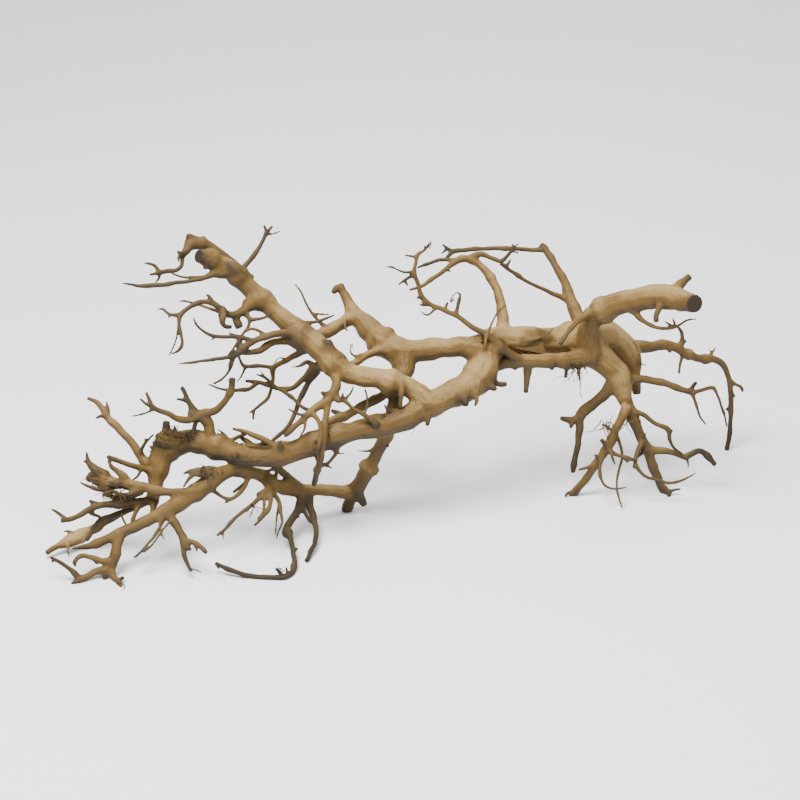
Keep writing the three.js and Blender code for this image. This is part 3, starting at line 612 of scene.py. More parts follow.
        "left_horn",
        Tone.BROWN,
        (
            route(
                (158, 484, 40, 10), (148, 468, 36, 9.6), (140, 455, 33, 9), (132, 443, 30, 8.6),
                (122, 432, 27, 8.4), (113, 424, 24, 9), (107, 417, 22, 7.6), (102, 409, 20, 5.4),
                (95, 401, 18, 4.8), (87, 398, 16, 4),
            ),
            route((108, 418, 22, 6), (101, 416, 25, 4), (95, 419, 27, 2.6)),
            route((108, 417, 22, 5), (108, 408, 19, 4), (106, 401, 17, 2.6)),
            route(
                (143, 459, 34, 5), (142, 450, 38, 4), (146, 442, 40, 3.6), (150, 438, 40, 3),
                (154, 434, 40, 2.6),
            ),
            route((146, 443, 40, 3.4), (145, 438, 41, 3)),
            route(
                (155, 479, 42, 9), (146, 470, 46, 7), (134, 466, 52, 6.2), (121, 462, 58, 5.8),
                (107, 456, 65, 4.4),
            ),
            route((113, 459, 62, 4), (107, 462, 66, 2.4)),
            route((142, 468, 48, 4), (137, 477, 54, 3.4), (131, 481, 56, 2.4)),
        ),
    ),
    Limb(
        "left_rootlets",
        Tone.BROWN,
        (
            route(
                (158, 499, 50, 10), (140, 502, 55, 9.4), (120, 504, 60, 8.4), (101, 505, 64, 7.6),
                (92, 508, 68, 7), (82, 514, 75, 5.6), (71, 519, 82, 5.2), (61, 521, 88, 5),
            ),
            route((66, 519, 84, 4.6), (58, 513, 86, 3.8), (51, 509, 88, 2.6)),
            route((98, 505, 64, 6), (92, 502, 66, 5), (89, 500, 67, 3)),
            route(
                (148, 501, 53, 8), (134, 508, 51, 6), (118, 514, 50, 6), (102, 519, 52, 5.8),
                (95, 526, 56, 5.2), (91, 534, 62, 5), (87, 541, 68, 4.4),
            ),
            route((90, 513, 70, 4.4), (100, 517, 58, 4)),
            # Weathered slab behind.
            route(
                (126, 511, 50, 7), (108, 521, 40, 7), (94, 529, 34, 10), (79, 536, 32, 13),
                (67, 542, 36, 11), (57, 547, 42, 6.4), (46, 553, 48, 6),
            ),
            route((74, 534, 34, 6), (67, 531, 38, 3), (63, 532, 40, 2)),
            route((69, 542, 38, 5), (68, 549, 44, 3), (69, 557, 48, 2)),
            # Struts down to the left root.
            route((140, 503, 55, 7), (135, 514, 62, 5.2), (132, 525, 73, 5)),
            route((121, 511, 51, 4), (123, 519, 60, 3.2), (128, 528, 74, 3)),
            route((154, 503, 54, 9), (152, 511, 62, 5.6), (151, 519, 70, 5)),
        ),
    ),
    Limb(
        "candelabra",
        Tone.BROWN,
        (
            route(
                (208, 445, 48, 15), (209, 434, 50, 12), (208, 424, 52, 10.6), (203, 415, 55, 11),
                (212, 412, 59, 8.6), (222, 405, 65, 7.4), (229, 395, 70, 6.6), (232, 386, 74, 6.8),
                (232, 378, 76, 7.4),
            ),
            route(
                (204, 416, 55, 9), (195, 411, 57, 7.4), (189, 402, 59, 6.2), (185, 393, 60, 5.2),
                (181, 387, 60, 5),
            ),
            route((189, 402, 59, 5), (183, 400, 61, 4), (176, 399, 63, 2.6)),
            # Left arm with three prongs.
            route(
                (201, 415, 56, 8), (190, 420, 64, 6.4), (178, 419, 70, 6.2), (165, 413, 78, 6),
                (155, 409, 84, 5.6), (151, 405, 86, 5),
            ),
            route((152, 406, 86, 4.8), (149, 399, 87, 4), (146, 392, 88, 3)),
            route((153, 408, 85, 4.4), (146, 404, 88, 3.6), (140, 398, 90, 2.8)),
            route((154, 409, 84, 4), (146, 413, 87, 3), (139, 415, 90, 2.8), (131, 416, 92, 2.4)),
            route((190, 412, 58, 6), (190, 417, 64, 5)),
            # Strut back to the burl.
            route((198, 414, 56, 7), (195, 424, 56, 5.4), (193, 433, 54, 5.4), (188, 438, 52, 6)),
        ),
    ),
    Limb(
        "lying_twigs",
        Tone.BROWN,
        (
            route(
                (280, 449, 62, 7), (266, 441, 60, 6.2), (253, 435, 57, 5.6), (243, 431, 54, 5),
                (232, 429, 52, 3.2),
            ),
            route((266, 443, 58, 5), (255, 445, 52, 4.4), (246, 441, 46, 5.6), (241, 437, 44, 4.6)),
            route(
                (246, 434, 53, 4), (238, 437, 48, 4.4), (230, 440, 46, 4), (224, 434, 44, 3.2),
                (217, 429, 42, 2),
            ),
        ),
    ),
    Limb(
        "upper_tangle",
        Tone.BROWN,
        (
            # Two roots that meet in a knot and run out in a long tip.
            route(
                (302, 342, 36, 13), (287, 333, 44, 8.4), (274, 334, 49, 7.4), (262, 338, 53, 6.6),
                (251, 343, 57, 6.4), (243, 349, 60, 7.4), (236, 355, 62, 6), (226, 358, 65, 4.8),
                (210, 360, 69, 4), (194, 362, 73, 3.4), (178, 364, 77, 2.2),
            ),
            route(
                (303, 348, 32, 12), (288, 341, 34, 8.6), (272, 343, 40, 8), (260, 350, 48, 7),
                (248, 353, 56, 6.2), (240, 352, 61, 6),
            ),
            route(
                (254, 341, 56, 5), (240, 337, 60, 4.6), (225, 337, 64, 4.4), (211, 335, 68, 4.2),
                (203, 331, 70, 3.6), (197, 325, 72, 3.2), (193, 317, 74, 2.2),
            ),
            route((216, 336, 66, 3), (211, 341, 68, 2)),
            route((240, 338, 60, 4), (234, 335, 56, 3.6), (228, 333, 54, 2.2)),
            route(
                (268, 337, 50, 5), (259, 331, 54, 4), (250, 329, 56, 4), (243, 334, 56, 3.6),
                (240, 342, 58, 4), (239, 350, 60, 4.6),
            ),
            route((241, 337, 59, 4), (237, 343, 62, 3.4), (232, 350, 64, 2.6)),
            route((238, 354, 61, 5), (232, 352, 64, 4.6), (229, 354, 66, 3)),
            # Drop from the knot.
            route(
                (234, 356, 62, 5), (231, 363, 60, 5.6), (229, 371, 58, 3.2), (222, 379, 57, 3.2),
                (213, 384, 56, 3),
            ),
        ),
    ),
    Limb(
        "middle_tangle",
        Tone.BROWN,
        (
            route(
                (308, 347, 28, 12), (297, 354, 20, 7), (285, 361, 12, 5.8), (273, 369, 4, 6.4),
                (273, 378, 2, 4.8), (271, 390, 2, 4.2), (267, 399, 4, 4), (258, 407, 6, 3.4),
                (249, 413, 8, 2.4),
            ),
            route((254, 410, 7, 3.4), (253, 420, 8, 3.2)),
            route(
                (275, 368, 4, 5), (262, 366, 0, 4.4), (250, 366, -2, 4.4), (244, 366, -2, 4.4),
                (240, 359, 0, 3.4), (238, 352, 4, 2.6),
            ),
            route((245, 368, -2, 3.4), (242, 375, -4, 2.8), (236, 383, -6, 2)),
            route((289, 360, 14, 3.4), (279, 358, 18, 2.4), (274, 363, 19, 2)),
        ),
    ),
    Limb(
        "bundle_root",
        Tone.BROWN,
        (
            route(
                (326, 366, 32, 13), (314, 368, 24, 9), (304, 378, 18, 6), (293, 388, 14, 5.4),
                (280, 389, 12, 5.2), (268, 385, 12, 5), (256, 382, 14, 4.6), (245, 381, 16, 3.6),
            ),
            route((314, 367, 24, 8), (308, 362, 26, 5), (300, 366, 28, 3.4), (291, 367, 30, 2.2)),
            route((276, 388, 12, 4.6), (267, 379, 16, 3.6), (256, 374, 18, 2.4)),
            route((266, 379, 16, 3), (260, 370, 14, 2)),
            route(
                (258, 383, 14, 4.4), (249, 389, 20, 4.4), (238, 390, 24, 4.4), (228, 390, 28, 3.4),
                (218, 388, 31, 3), (208, 384, 34, 2.2),
            ),
            route((279, 388, 12, 5), (290, 396, 22, 4.2), (301, 406, 34, 4.2), (311, 412, 46, 4.4)),
            # Pale root down to the back of the lower limb.
            route(
                (318, 370, 24, 8), (307, 385, 14, 6), (300, 399, 12, 5.6), (295, 413, 14, 5.4),
                (287, 428, 20, 5), (276, 438, 30, 4.6), (268, 444, 40, 4.4),
            ),
        ),
    ),
    Limb(
        "lower_tangle",
        Tone.BROWN,
        (
            route(
                (333, 370, 42, 13), (337, 384, 52, 9.4), (331, 396, 58, 9), (319, 406, 62, 8.4),
                (309, 414, 65, 7.6), (295, 426, 67, 6.2), (284, 436, 68, 5.4),
            ),
            route((331, 393, 58, 7), (325, 394, 62, 5.4), (321, 392, 64, 4)),
            route((312, 412, 64, 4.6), (302, 415, 70, 3.6), (294, 412, 73, 3), (288, 409, 75, 2.4)),
            route(
                (336, 395, 56, 8), (338, 400, 58, 7), (343, 400, 60, 5), (353, 408, 62, 4.2),
                (363, 414, 62, 4.4), (372, 420, 60, 6), (377, 425, 57, 8),
            ),
            route((342, 400, 60, 4), (343, 393, 63, 3)),
            route((344, 400, 60, 4), (350, 394, 58, 3), (354, 386, 56, 2.4)),
            route((363, 414, 62, 3.6), (367, 408, 60, 3), (367, 398, 58, 3), (365, 389, 56, 3)),
            # Strands that hang in front of the lower limb.
            route(
                (329, 399, 59, 8), (327, 411, 62, 7), (325, 424, 66, 6.6), (324, 440, 70, 6.8),
                (321, 457, 66, 7), (317, 472, 46, 6.6), (314, 484, 16, 6),
            ),
            route(
                (312, 413, 65, 6), (318, 420, 69, 5.2), (320, 432, 73, 4.8), (319, 446, 75, 4.6),
                (316, 456, 73, 3.6),
            ),
            route((305, 419, 66, 4), (305, 428, 70, 3.4), (302, 434, 72, 3), (298, 440, 73, 2)),
            route(
                (319, 465, 56, 5.4), (327, 464, 54, 4.4), (334, 456, 52, 4.2), (338, 449, 50, 3.8),
                (341, 443, 50, 3),
            ),
            route((336, 453, 51, 3.6), (330, 446, 54, 2.4)),
            route((337, 453, 51, 2.8), (345, 454, 52, 1.8)),
            route((325, 465, 54, 4), (332, 468, 56, 2.4)),
        ),
    ),
    Limb(
        "arch_limb",
        Tone.PALE,
        (
            route(
                (503, 338, -24, 20), (503, 320, -29, 13), (501, 303, -36, 10.4), (496, 287, -42, 9.4),
                (487, 272, -45, 8.4), (475, 262, -45, 7.6), (463, 258, -42, 7), (454, 262, -38, 6.6),
                (445, 270, -32, 5.2), (434, 278, -26, 4.8), (422, 286, -21, 4.4), (409, 290, -17, 3),
            ),
            # Pale twig to the right.
            route(
                (466, 259, -43, 6.4), (481, 254, -44, 5.4), (492, 258, -43, 5), (501, 261, -42, 5),
                (509, 254, -38, 4), (513, 248, -36, 3.4),
            ),
            route((512, 250, -36, 3.4), (513, 243, -36, 2.2)),
            route((511, 250, -37, 3), (519, 243, -36, 2.2)),
            route((511, 251, -37, 3), (519, 253, -36, 2.2)),
            route(
                (460, 260, -41, 6), (452, 260, -40, 5), (440, 260, -40, 4.6), (428, 264, -40, 4),
                (417, 268, -40, 3),
            ),
            route((449, 266, -35, 4), (444, 270, -40, 3)),
            route((447, 269, -33, 4), (451, 272, -30, 2.4)),
        ),
    ),
    Limb(
        "crook_limb",
        Tone.BROWN,
        (
            route(
                (588, 334, -58, 20), (578, 318, -62, 15), (571, 302, -68, 12.6), (567, 288, -76, 10),
                (560, 273, -86, 8.2), (551, 258, -95, 7), (544, 248, -101, 7.6), (540, 245, -102, 6),
            ),
            # Top twig, lying almost level.
            route(
                (545, 250, -101, 6), (530, 249.5, -101, 5), (512, 248.5, -98, 5.2),
                (495, 248.5, -95, 5), (478, 249, -90, 4.6), (462, 250, -85, 4.8), (453, 252, -82, 5.2),
                (446, 258, -78, 4),
            ),
            route((454, 252, -82, 4.6), (447, 248, -80, 3.6), (442, 244, -79, 2.4)),
            route((447, 249, -80, 3.4), (441, 254, -78, 2.2)),
            # Straight twig back to the left.
            route(
                (571, 301, -68, 10), (562, 298, -70, 5.6), (545, 290, -66, 4.6), (524, 280, -62, 4.2),
                (509, 269, -58, 4.2), (500, 263, -55, 4),
            ),
            route((506, 267, -57, 4), (511, 259, -56, 2.6)),
        ),
    ),
    Limb(
        "long_twig",
        Tone.BROWN,
        (
            route(
                (540, 361, -14, 9), (522, 360, -8, 10), (507, 352, 4, 8.4), (496, 343, 14, 6.8),
                (484, 334, 20, 6.2), (470, 325, 20, 5.8), (455, 315, 20, 5.6), (442, 309, 22, 5.4),
                (430, 304, 24, 5.4), (422, 296, 28, 5.2), (418, 284, 32, 4.8), (414, 272, 36, 4.8),
                (416, 263, 38, 4.4), (418, 255, 38, 4), (425, 250, 36, 3.2), (428, 245, 35, 2.8),
                (432, 241, 34, 2),
            ),
            route(
                (415, 272, 36, 4), (404, 272, 40, 3), (398, 270, 42, 2.6), (391, 267, 44, 2.4),
                (385, 267, 46, 1.8),
            ),
            route((414, 274, 36, 4.4), (405, 280, 32, 3.6), (398, 285, 30, 2.4)),
            route((405, 281, 32, 3.4), (408, 286, 28, 2.6)),
            route((417, 257, 38, 3.6), (410, 256, 40, 3), (404, 255, 42, 2.2)),
            route((431, 305, 24, 4), (424, 305, 26, 3.4), (419, 305, 28, 2.4)),
            route((436, 308, 22, 4), (432, 312, 26, 3.2), (427, 315, 29, 2.8), (420, 311, 31, 2)),
            route((421, 297, 28, 4.4), (417, 298, 32, 3)),
            route(
                (456, 315, 20, 5), (458, 305, 20, 4.2), (460, 294, 20, 2.8), (456, 293, 21, 2),
                (450, 300, 22, 1.6),
            ),
            route((445, 309, 18, 4), (448, 302, 21, 3)),
            route((425, 251, 36, 3), (424, 245, 38, 1.8)),
        ),
    ),
    Limb(
        "right_reach",
        Tone.PALE,
        (
            route(
                (622, 346, -76, 17), (640, 347, -84, 13.6), (657, 346, -93, 11), (673, 346, -102, 10),
                (686, 353, -112, 9), (698, 358, -122, 8), (711, 359, -132, 7.4), (721, 362, -141, 7),
                (727, 374, -149, 6.4), (730, 388, -156, 6.2), (731, 404, -162, 5.8),
                (730, 427, -170, 5.4), DRAWING.foot(727, 451, 5.6),
            ),
            # Upright twig, prong and hanging twig.
            route((680, 350, -108, 7), (682, 340, -104, 5), (681, 332, -101, 4.4), (677, 326, -98, 3)),
            route((682, 344, -106, 5), (686, 340, -108, 3.6)),
            route((683, 352, -110, 5), (681, 361, -110, 3.6), (679, 374, -108, 3.2)),
            route((672, 347, -102, 6), (669, 352, -94, 4)),
            route((708, 358, -130, 5), (712, 353, -132, 3), (716, 347, -134, 2)),
            route((712, 353, -132, 2.6), (709, 349, -130, 1.8)),
            route((728, 378, -151, 5), (735, 384, -154, 4), (741, 387, -156, 4), (743, 392, -157, 3.6)),
            route((731, 392, -158, 5), (735, 397, -156, 3)),
            route((730, 409, -164, 4), (725, 409, -166, 2.6)),
        ),
    ),
    Limb(
        "right_fork_limb",
        Tone.BROWN,
        (
            route(
                (620, 378, -54, 14), (632, 379, -54, 9.4), (648, 380, -52, 8), (666, 384, -49, 7),
                (682, 389, -46, 6.6), (693, 393, -44, 6.4),
            ),
            route((690, 392, -45, 5.6), (693, 386, -44, 4.6), (697, 382, -43, 4)),
            route(
                (691, 393, -44, 5.6), (699, 391, -40, 4.6), (713, 388, -37, 4.4), (718, 396, -36, 3.4),
                (721, 406, -36, 3.2), (725, 417, -36, 3), (727, 427, -36, 2.6),
            ),
            route(
                (692, 393, -44, 5), (695, 401, -40, 3.8), (698, 411, -37, 3.2), (701, 418, -35, 3),
                (706, 425, -33, 2.4),
            ),
            route((712, 389, -37, 3.4), (715, 386, -38, 2.4)),
        ),
    ),
    Limb(
        "splay_leg",
        Tone.BROWN,
        (
            route(
                (616, 381, -52, 18), (605, 393, -56, 12), (592, 405, -60, 10.4), (581, 415, -63, 11),
                (580, 427, -67, 9), (578, 442, -72, 7.2), (575, 458, -77, 6.4), (573, 473, -82, 5),
            ),
            route((583, 414, -63, 10), (573, 420, -61, 8), (564, 419, -59, 5.4), (560, 418, -58, 4.4)),
            route((573, 421, -61, 7), (570, 428, -58, 3.6)),
        ),
    ),
    Limb(
        "back_leg",
        Tone.BROWN,
        (
            route(
                (624, 396, -54, 15), (631, 412, -58, 12.4), (639, 433, -65, 11), (648, 452, -72, 10.6),
                (655, 472, -79, 9.4), DRAWING.foot(665, 494, 8.4),
            ),
            route((660, 484, -82, 7), (668, 492, -81, 6), (669, 498, -78, 4)),
            route((667, 492, -81, 5), (674, 490, -78, 3.6), (681, 489, -76, 3)),
            # Bent arm with a dark end.
            route(
                (646, 449, -71, 11), (658, 450, -70, 8.2), (672, 452, -69, 6.6), (685, 457, -68, 6),
                (691, 454, -68, 6.6), (698, 451, -68, 6.4), (706, 455, -68, 6), (716, 465, -68, 5.4),
            ),
            route((686, 457, -68, 4), (688, 463, -66, 3), (688, 469, -64, 2)),
            # Thin arm that bends down to it.
            route(
                (630, 410, -56, 9), (642, 414, -52, 5.6), (656, 424, -50, 5), (668, 430, -50, 5.4),
                (669, 439, -52, 4.4), (673, 447, -56, 3.6), (682, 454, -62, 3.2),
            ),
            route((668, 431, -50, 5), (673, 431, -48, 3.4)),
            # Twig hanging from the shin.
            route(
                (643, 440, -62, 7), (638, 452, -56, 5.4), (635, 462, -52, 4.6), (640, 471, -50, 4),
                (647, 477, -50, 4), (659, 480, -50, 3.6), (668, 483, -50, 3.6), (683, 480, -50, 3),
                (696, 473, -50, 2),
            ),
            route((636, 461, -52, 4), (633, 468, -50, 3)),
            route((643, 438, -60, 4), (646, 433, -56, 2.4)),
            route((646, 450, -66, 5), (637, 457, -60, 3.4)),
        ),
    ),
    Limb(
        "front_leg",
        Tone.PALE,
        (
            route(
                (627, 406, -46, 11), (619, 424, -48, 9.4), (609, 444, -54, 9.4), (596, 464, -63, 8.4),
                (584, 481, -72, 7.6), DRAWING.foot(572, 496, 9.4),
            ),
            route((608, 449, -53, 7), (604, 443, -48, 5), (601, 439, -46, 4.4)),
            route((608, 451, -54, 6), (618, 455, -50, 4.6), (628, 458, -48, 4.6), (635, 460, -47, 4)),
            route((624, 458, -48, 3.6), (628, 463, -46, 2.6)),
            route(
                (603, 456, -57, 5), (600, 467, -52, 4), (601, 479, -48, 3.6), (605, 486, -46, 3.4),
                (616, 489, -45, 2.8), (627, 487, -44, 2),
            ),
            route(
                (616, 434, -52, 5), (620, 445, -58, 3.8), (622, 458, -60, 3.6), (618, 474, -58, 3.4),
                (617, 488, -54, 3), (622, 508, -47, 2.4),
            ),
            route((598, 462, -62, 5), (588, 467, -60, 4), (578, 470, -58, 3)),
            route((609, 446, -52, 5), (612, 456, -47, 3.6), (615, 465, -44, 2.6)),
            route((615, 433, -50, 5), (610, 429, -47, 3.6), (602, 424, -44, 2.6)),
            route((601, 459, -58, 5), (594, 455, -54, 3)),
            route((573, 493, -79, 6), (568, 493, -77, 4), (565, 497, -76, 2.8)),
        ),
    ),
)


@dataclass
class Strand:
    """A route sampled along its smooth curve, with all that the wood needs to know on the way."""

    limb: int
    centres: np.ndarray
    tangents: np.ndarray
    sides: np.ndarray
    radii: np.ndarray
    along: np.ndarray
    sawn: bool
    shade: float


@dataclass(frozen=True)
class Patch:
    """A place on the drawing where the wood is rougher, darker or paler than around it.

    Its reach and the height of its roughness are in millimetres; its tone is added to the wood's.
    """

    across: float
    down: float
    reach: float
    rough: float
    tone: float

    def centre(self) -> Vector:
        """Where the patch lies on the branch, in metres."""
        return DRAWING.place(on_branch(self.across, self.down))


PATCHES: tuple[Patch, ...] = (
    # Fibrous burl on top of the left bend, ragged end of the burl limb.
    Patch(166, 436, 12, 1.5, 0.10),
    Patch(182, 437, 11, 1.5, 0.10),
    Patch(98, 478, 13, 2.0, 0.16),
    Patch(118, 492, 13, 1.4, 0.14),
    Patch(206, 476, 12, 1.4, 0.14),
    # Bleached limb at the far left.
    Patch(85, 532, 18, 0.3, -0.20),
    Patch(66, 543, 20, 0.3, -0.22),
    # Crusted foot of the elbow rootlet and the dark end beside it.
    Patch(280, 571, 8, 1.2, 0.40),
    Patch(310, 545, 18, 0.2, 0.16),
    # Dark ends on the right.
    Patch(704, 456, 15, 0.3, 0.40),
    Patch(729, 436, 20, 0.2, 0.32),
    Patch(655, 476, 16, 0.2, 0.16),
    # Knots under the trunk.
    Patch(464, 403, 7, 1.0, 0.22),
    Patch(497, 385, 8, 0.9, 0.16),
)


def on_branch(across: float, down: float) -> Point:
    """Finds the wood that shows at a place on the drawing.

    Args:
        across: Distance from the drawing's left edge.
        down: Distance from its top edge.

    Returns:
        The nearest limb's point there, on its side toward the viewer.
    """
    best, found = math.inf, (across, down, 0.0, 0.0)
    steps = 8
    for limb in LIMBS:
        for drawn in limb.routes:
            for start, end in zip(drawn, drawn[1:]):
                for k in range(steps + 1):
                    a, d, toward, thick = (p + (q - p) * k / steps for p, q in zip(start, end))
                    off = max(0.0, math.hypot(a - across, d - down) - thick / 2) - toward / DRAWING.side
                    if off < best:
                        best, found = off, (across, down, toward + thick / 3, thick)
    return found


@dataclass
class Growth:
    """Turns the routes of the limbs into natural, slightly uneven strands."""

    step: float = 0.0016
    thinnest: float = 0.0021
    swelling: float = 0.08
    swelling_length: float = 0.026
    sway: float = 0.16
    sway_length: float = 0.012
    sway_most: float = 0.008
    knot_every: float = 0.026
    knot_height: float = 0.24
    knot_length: float = 0.0026
    shade_range: float = 0.09
    rng: random.Random = field(default_factory=lambda: random.Random(SEED))

    def strands(self) -> list[Strand]:
        """Samples every route of every limb.

        Returns:
            One strand for each route, in the order of the limbs.
        """
        return [
            self.strand(i, drawn, limb.sawn and k == 0)
            for i, limb in enumerate(LIMBS)
            for k, drawn in enumerate(limb.routes)
        ]

    def strand(self, limb: int, drawn: Route, sawn: bool) -> Strand:
        """Samples one route.

        Args:
            limb: The index of the limb that the route belongs to.
            drawn: The route on the drawing.
            sawn: Whether the route ends in a saw cut.

        Returns:
            The strand, with a frame that doesn't twist along it.
        """
        knots = np.array([DRAWING.place(p) for p in drawn])
        widths = np.array([p[3] * MM * DRAWING.shrink(p) for p in drawn])
        centres, radii = self.curve(knots, widths / 2)
        along = np.concatenate([[0.0], np.cumsum(np.linalg.norm(np.diff(centres, axis=0), axis=1))])
        tangents = np.gradient(centres, axis=0)
        tangents /= np.linalg.norm(tangents, axis=1, keepdims=True)
        sides = self.transported(tangents)
        offset = self.rng.uniform(0, 50)
        for i, s in enumerate(along):
            free = min(1.0, s / 0.012) * (0.0 if sawn and along[-1] - s < 0.008 else 1.0)
            radii[i] *= 1 + free * self.swelling * noise.noise((s / self.swelling_length, offset, limb))
            bend = noise.noise_vector((s / self.sway_length, offset + 9, limb))
            across = bend - Vector(tangents[i]) * bend.dot(Vector(tangents[i]))
            centres[i] += np.array(across) * free * self.sway * min(radii[i] * 2, self.sway_most)
        for _ in range(int(along[-1] / self.knot_every)):
            at = self.rng.uniform(0.2, 0.95) * along[-1]
            bump = self.knot_height * self.rng.uniform(0.4, 1.0)
            reach = self.knot_length * self.rng.uniform(0.7, 1.3) + radii.mean() * 0.4
            radii *= 1 + bump * np.exp(-(((along - at) / reach) ** 2))
        radii = np.maximum(radii, self.thinnest / 2)
        shade = self.rng.uniform(-self.shade_range, self.shade_range)
        return Strand(limb, centres, tangents, sides, radii, along, sawn, shade)

    def curve(self, knots: np.ndarray, radii: np.ndarray) -> tuple[np.ndarray, np.ndarray]:
        """Runs a centripetal Catmull-Rom curve through a route's points.

        Args:
            knots: The points, in metres.
            radii: The wood's radius at each.

        Returns:
            The curve's points at about one step apart, and the radius at each.
        """
        padded = np.vstack([2 * knots[0] - knots[1], knots, 2 * knots[-1] - knots[-2]])
        points, widths = [], []
        for i in range(len(knots) - 1):
            p = padded[i : i + 4]
            t = np.concatenate([[0.0], np.cumsum(np.sqrt(np.linalg.norm(np.diff(p, axis=0), axis=1)))])
            count = max(2, round(np.linalg.norm(p[2] - p[1]) / self.step))
            share = np.linspace(0, 1, count, endpoint=False)
            if i == len(knots) - 2:
                share = np.append(share, 1.0)
            at = (t[1] + share * (t[2] - t[1]))[:, None]
            a = [((t[j + 1] - at) * p[j] + (at - t[j]) * p[j + 1]) / (t[j + 1] - t[j]) for j in range(3)]
            b = [((t[j + 2] - at) * a[j] + (at - t[j]) * a[j + 1]) / (t[j + 2] - t[j]) for j in range(2)]
            points.append(((t[2] - at) * b[0] + (at - t[1]) * b[1]) / (t[2] - t[1]))
            ease = share * share * (3 - 2 * share)
            widths.append(radii[i] + ease * (radii[i + 1] - radii[i]))
        return np.vstack(points), np.concatenate(widths)

    def transported(self, tangents: np.ndarray) -> np.ndarray:
        """A side direction carried along a strand without twist.

        Args:
            tangents: The strand's directions.

        Returns:
            A unit vector across the strand at each of its points.
        """
        side = np.cross(tangents[0], (0.31, 0.87, 0.39))
        sides = np.empty_like(tangents)
        for i, tangent in enumerate(tangents):
            side = side - tangent * side.dot(tangent)
            side /= np.linalg.norm(side)
            sides[i] = side
        return sides


@dataclass
class Web:
    """Which vertices of the skin lie next to each other."""

    edges: np.ndarray
    neighbours: np.ndarray = field(init=False)
    starts: np.ndarray = field(init=False)
    counts: np.ndarray = field(init=False)

    def __post_init__(self) -> None:
        """Lists each vertex's neighbours in a row."""
        source = np.concatenate([self.edges[:, 0], self.edges[:, 1]])
        target = np.concatenate([self.edges[:, 1], self.edges[:, 0]])
        self.neighbours = target[np.argsort(source, kind="stable")]
        counts = np.bincount(source)
        self.starts = np.concatenate([[0], np.cumsum(counts)[:-1]])
        self.counts = (counts + 1.0)[:, None]

    def spread(self, values: np.ndarray, rounds: int) -> np.ndarray:
        """Evens values out over the skin, each round over one more ring of neighbours.

        Args:
            values: A row of values for each vertex.
            rounds: How often to take the mean of a vertex and its neighbours.

        Returns:
            The values, evened out.
        """
        for _ in range(rounds):
            near = np.add.reduceat(values[self.neighbours], self.starts, axis=0)
            values = (values + near) / self.counts
        return values


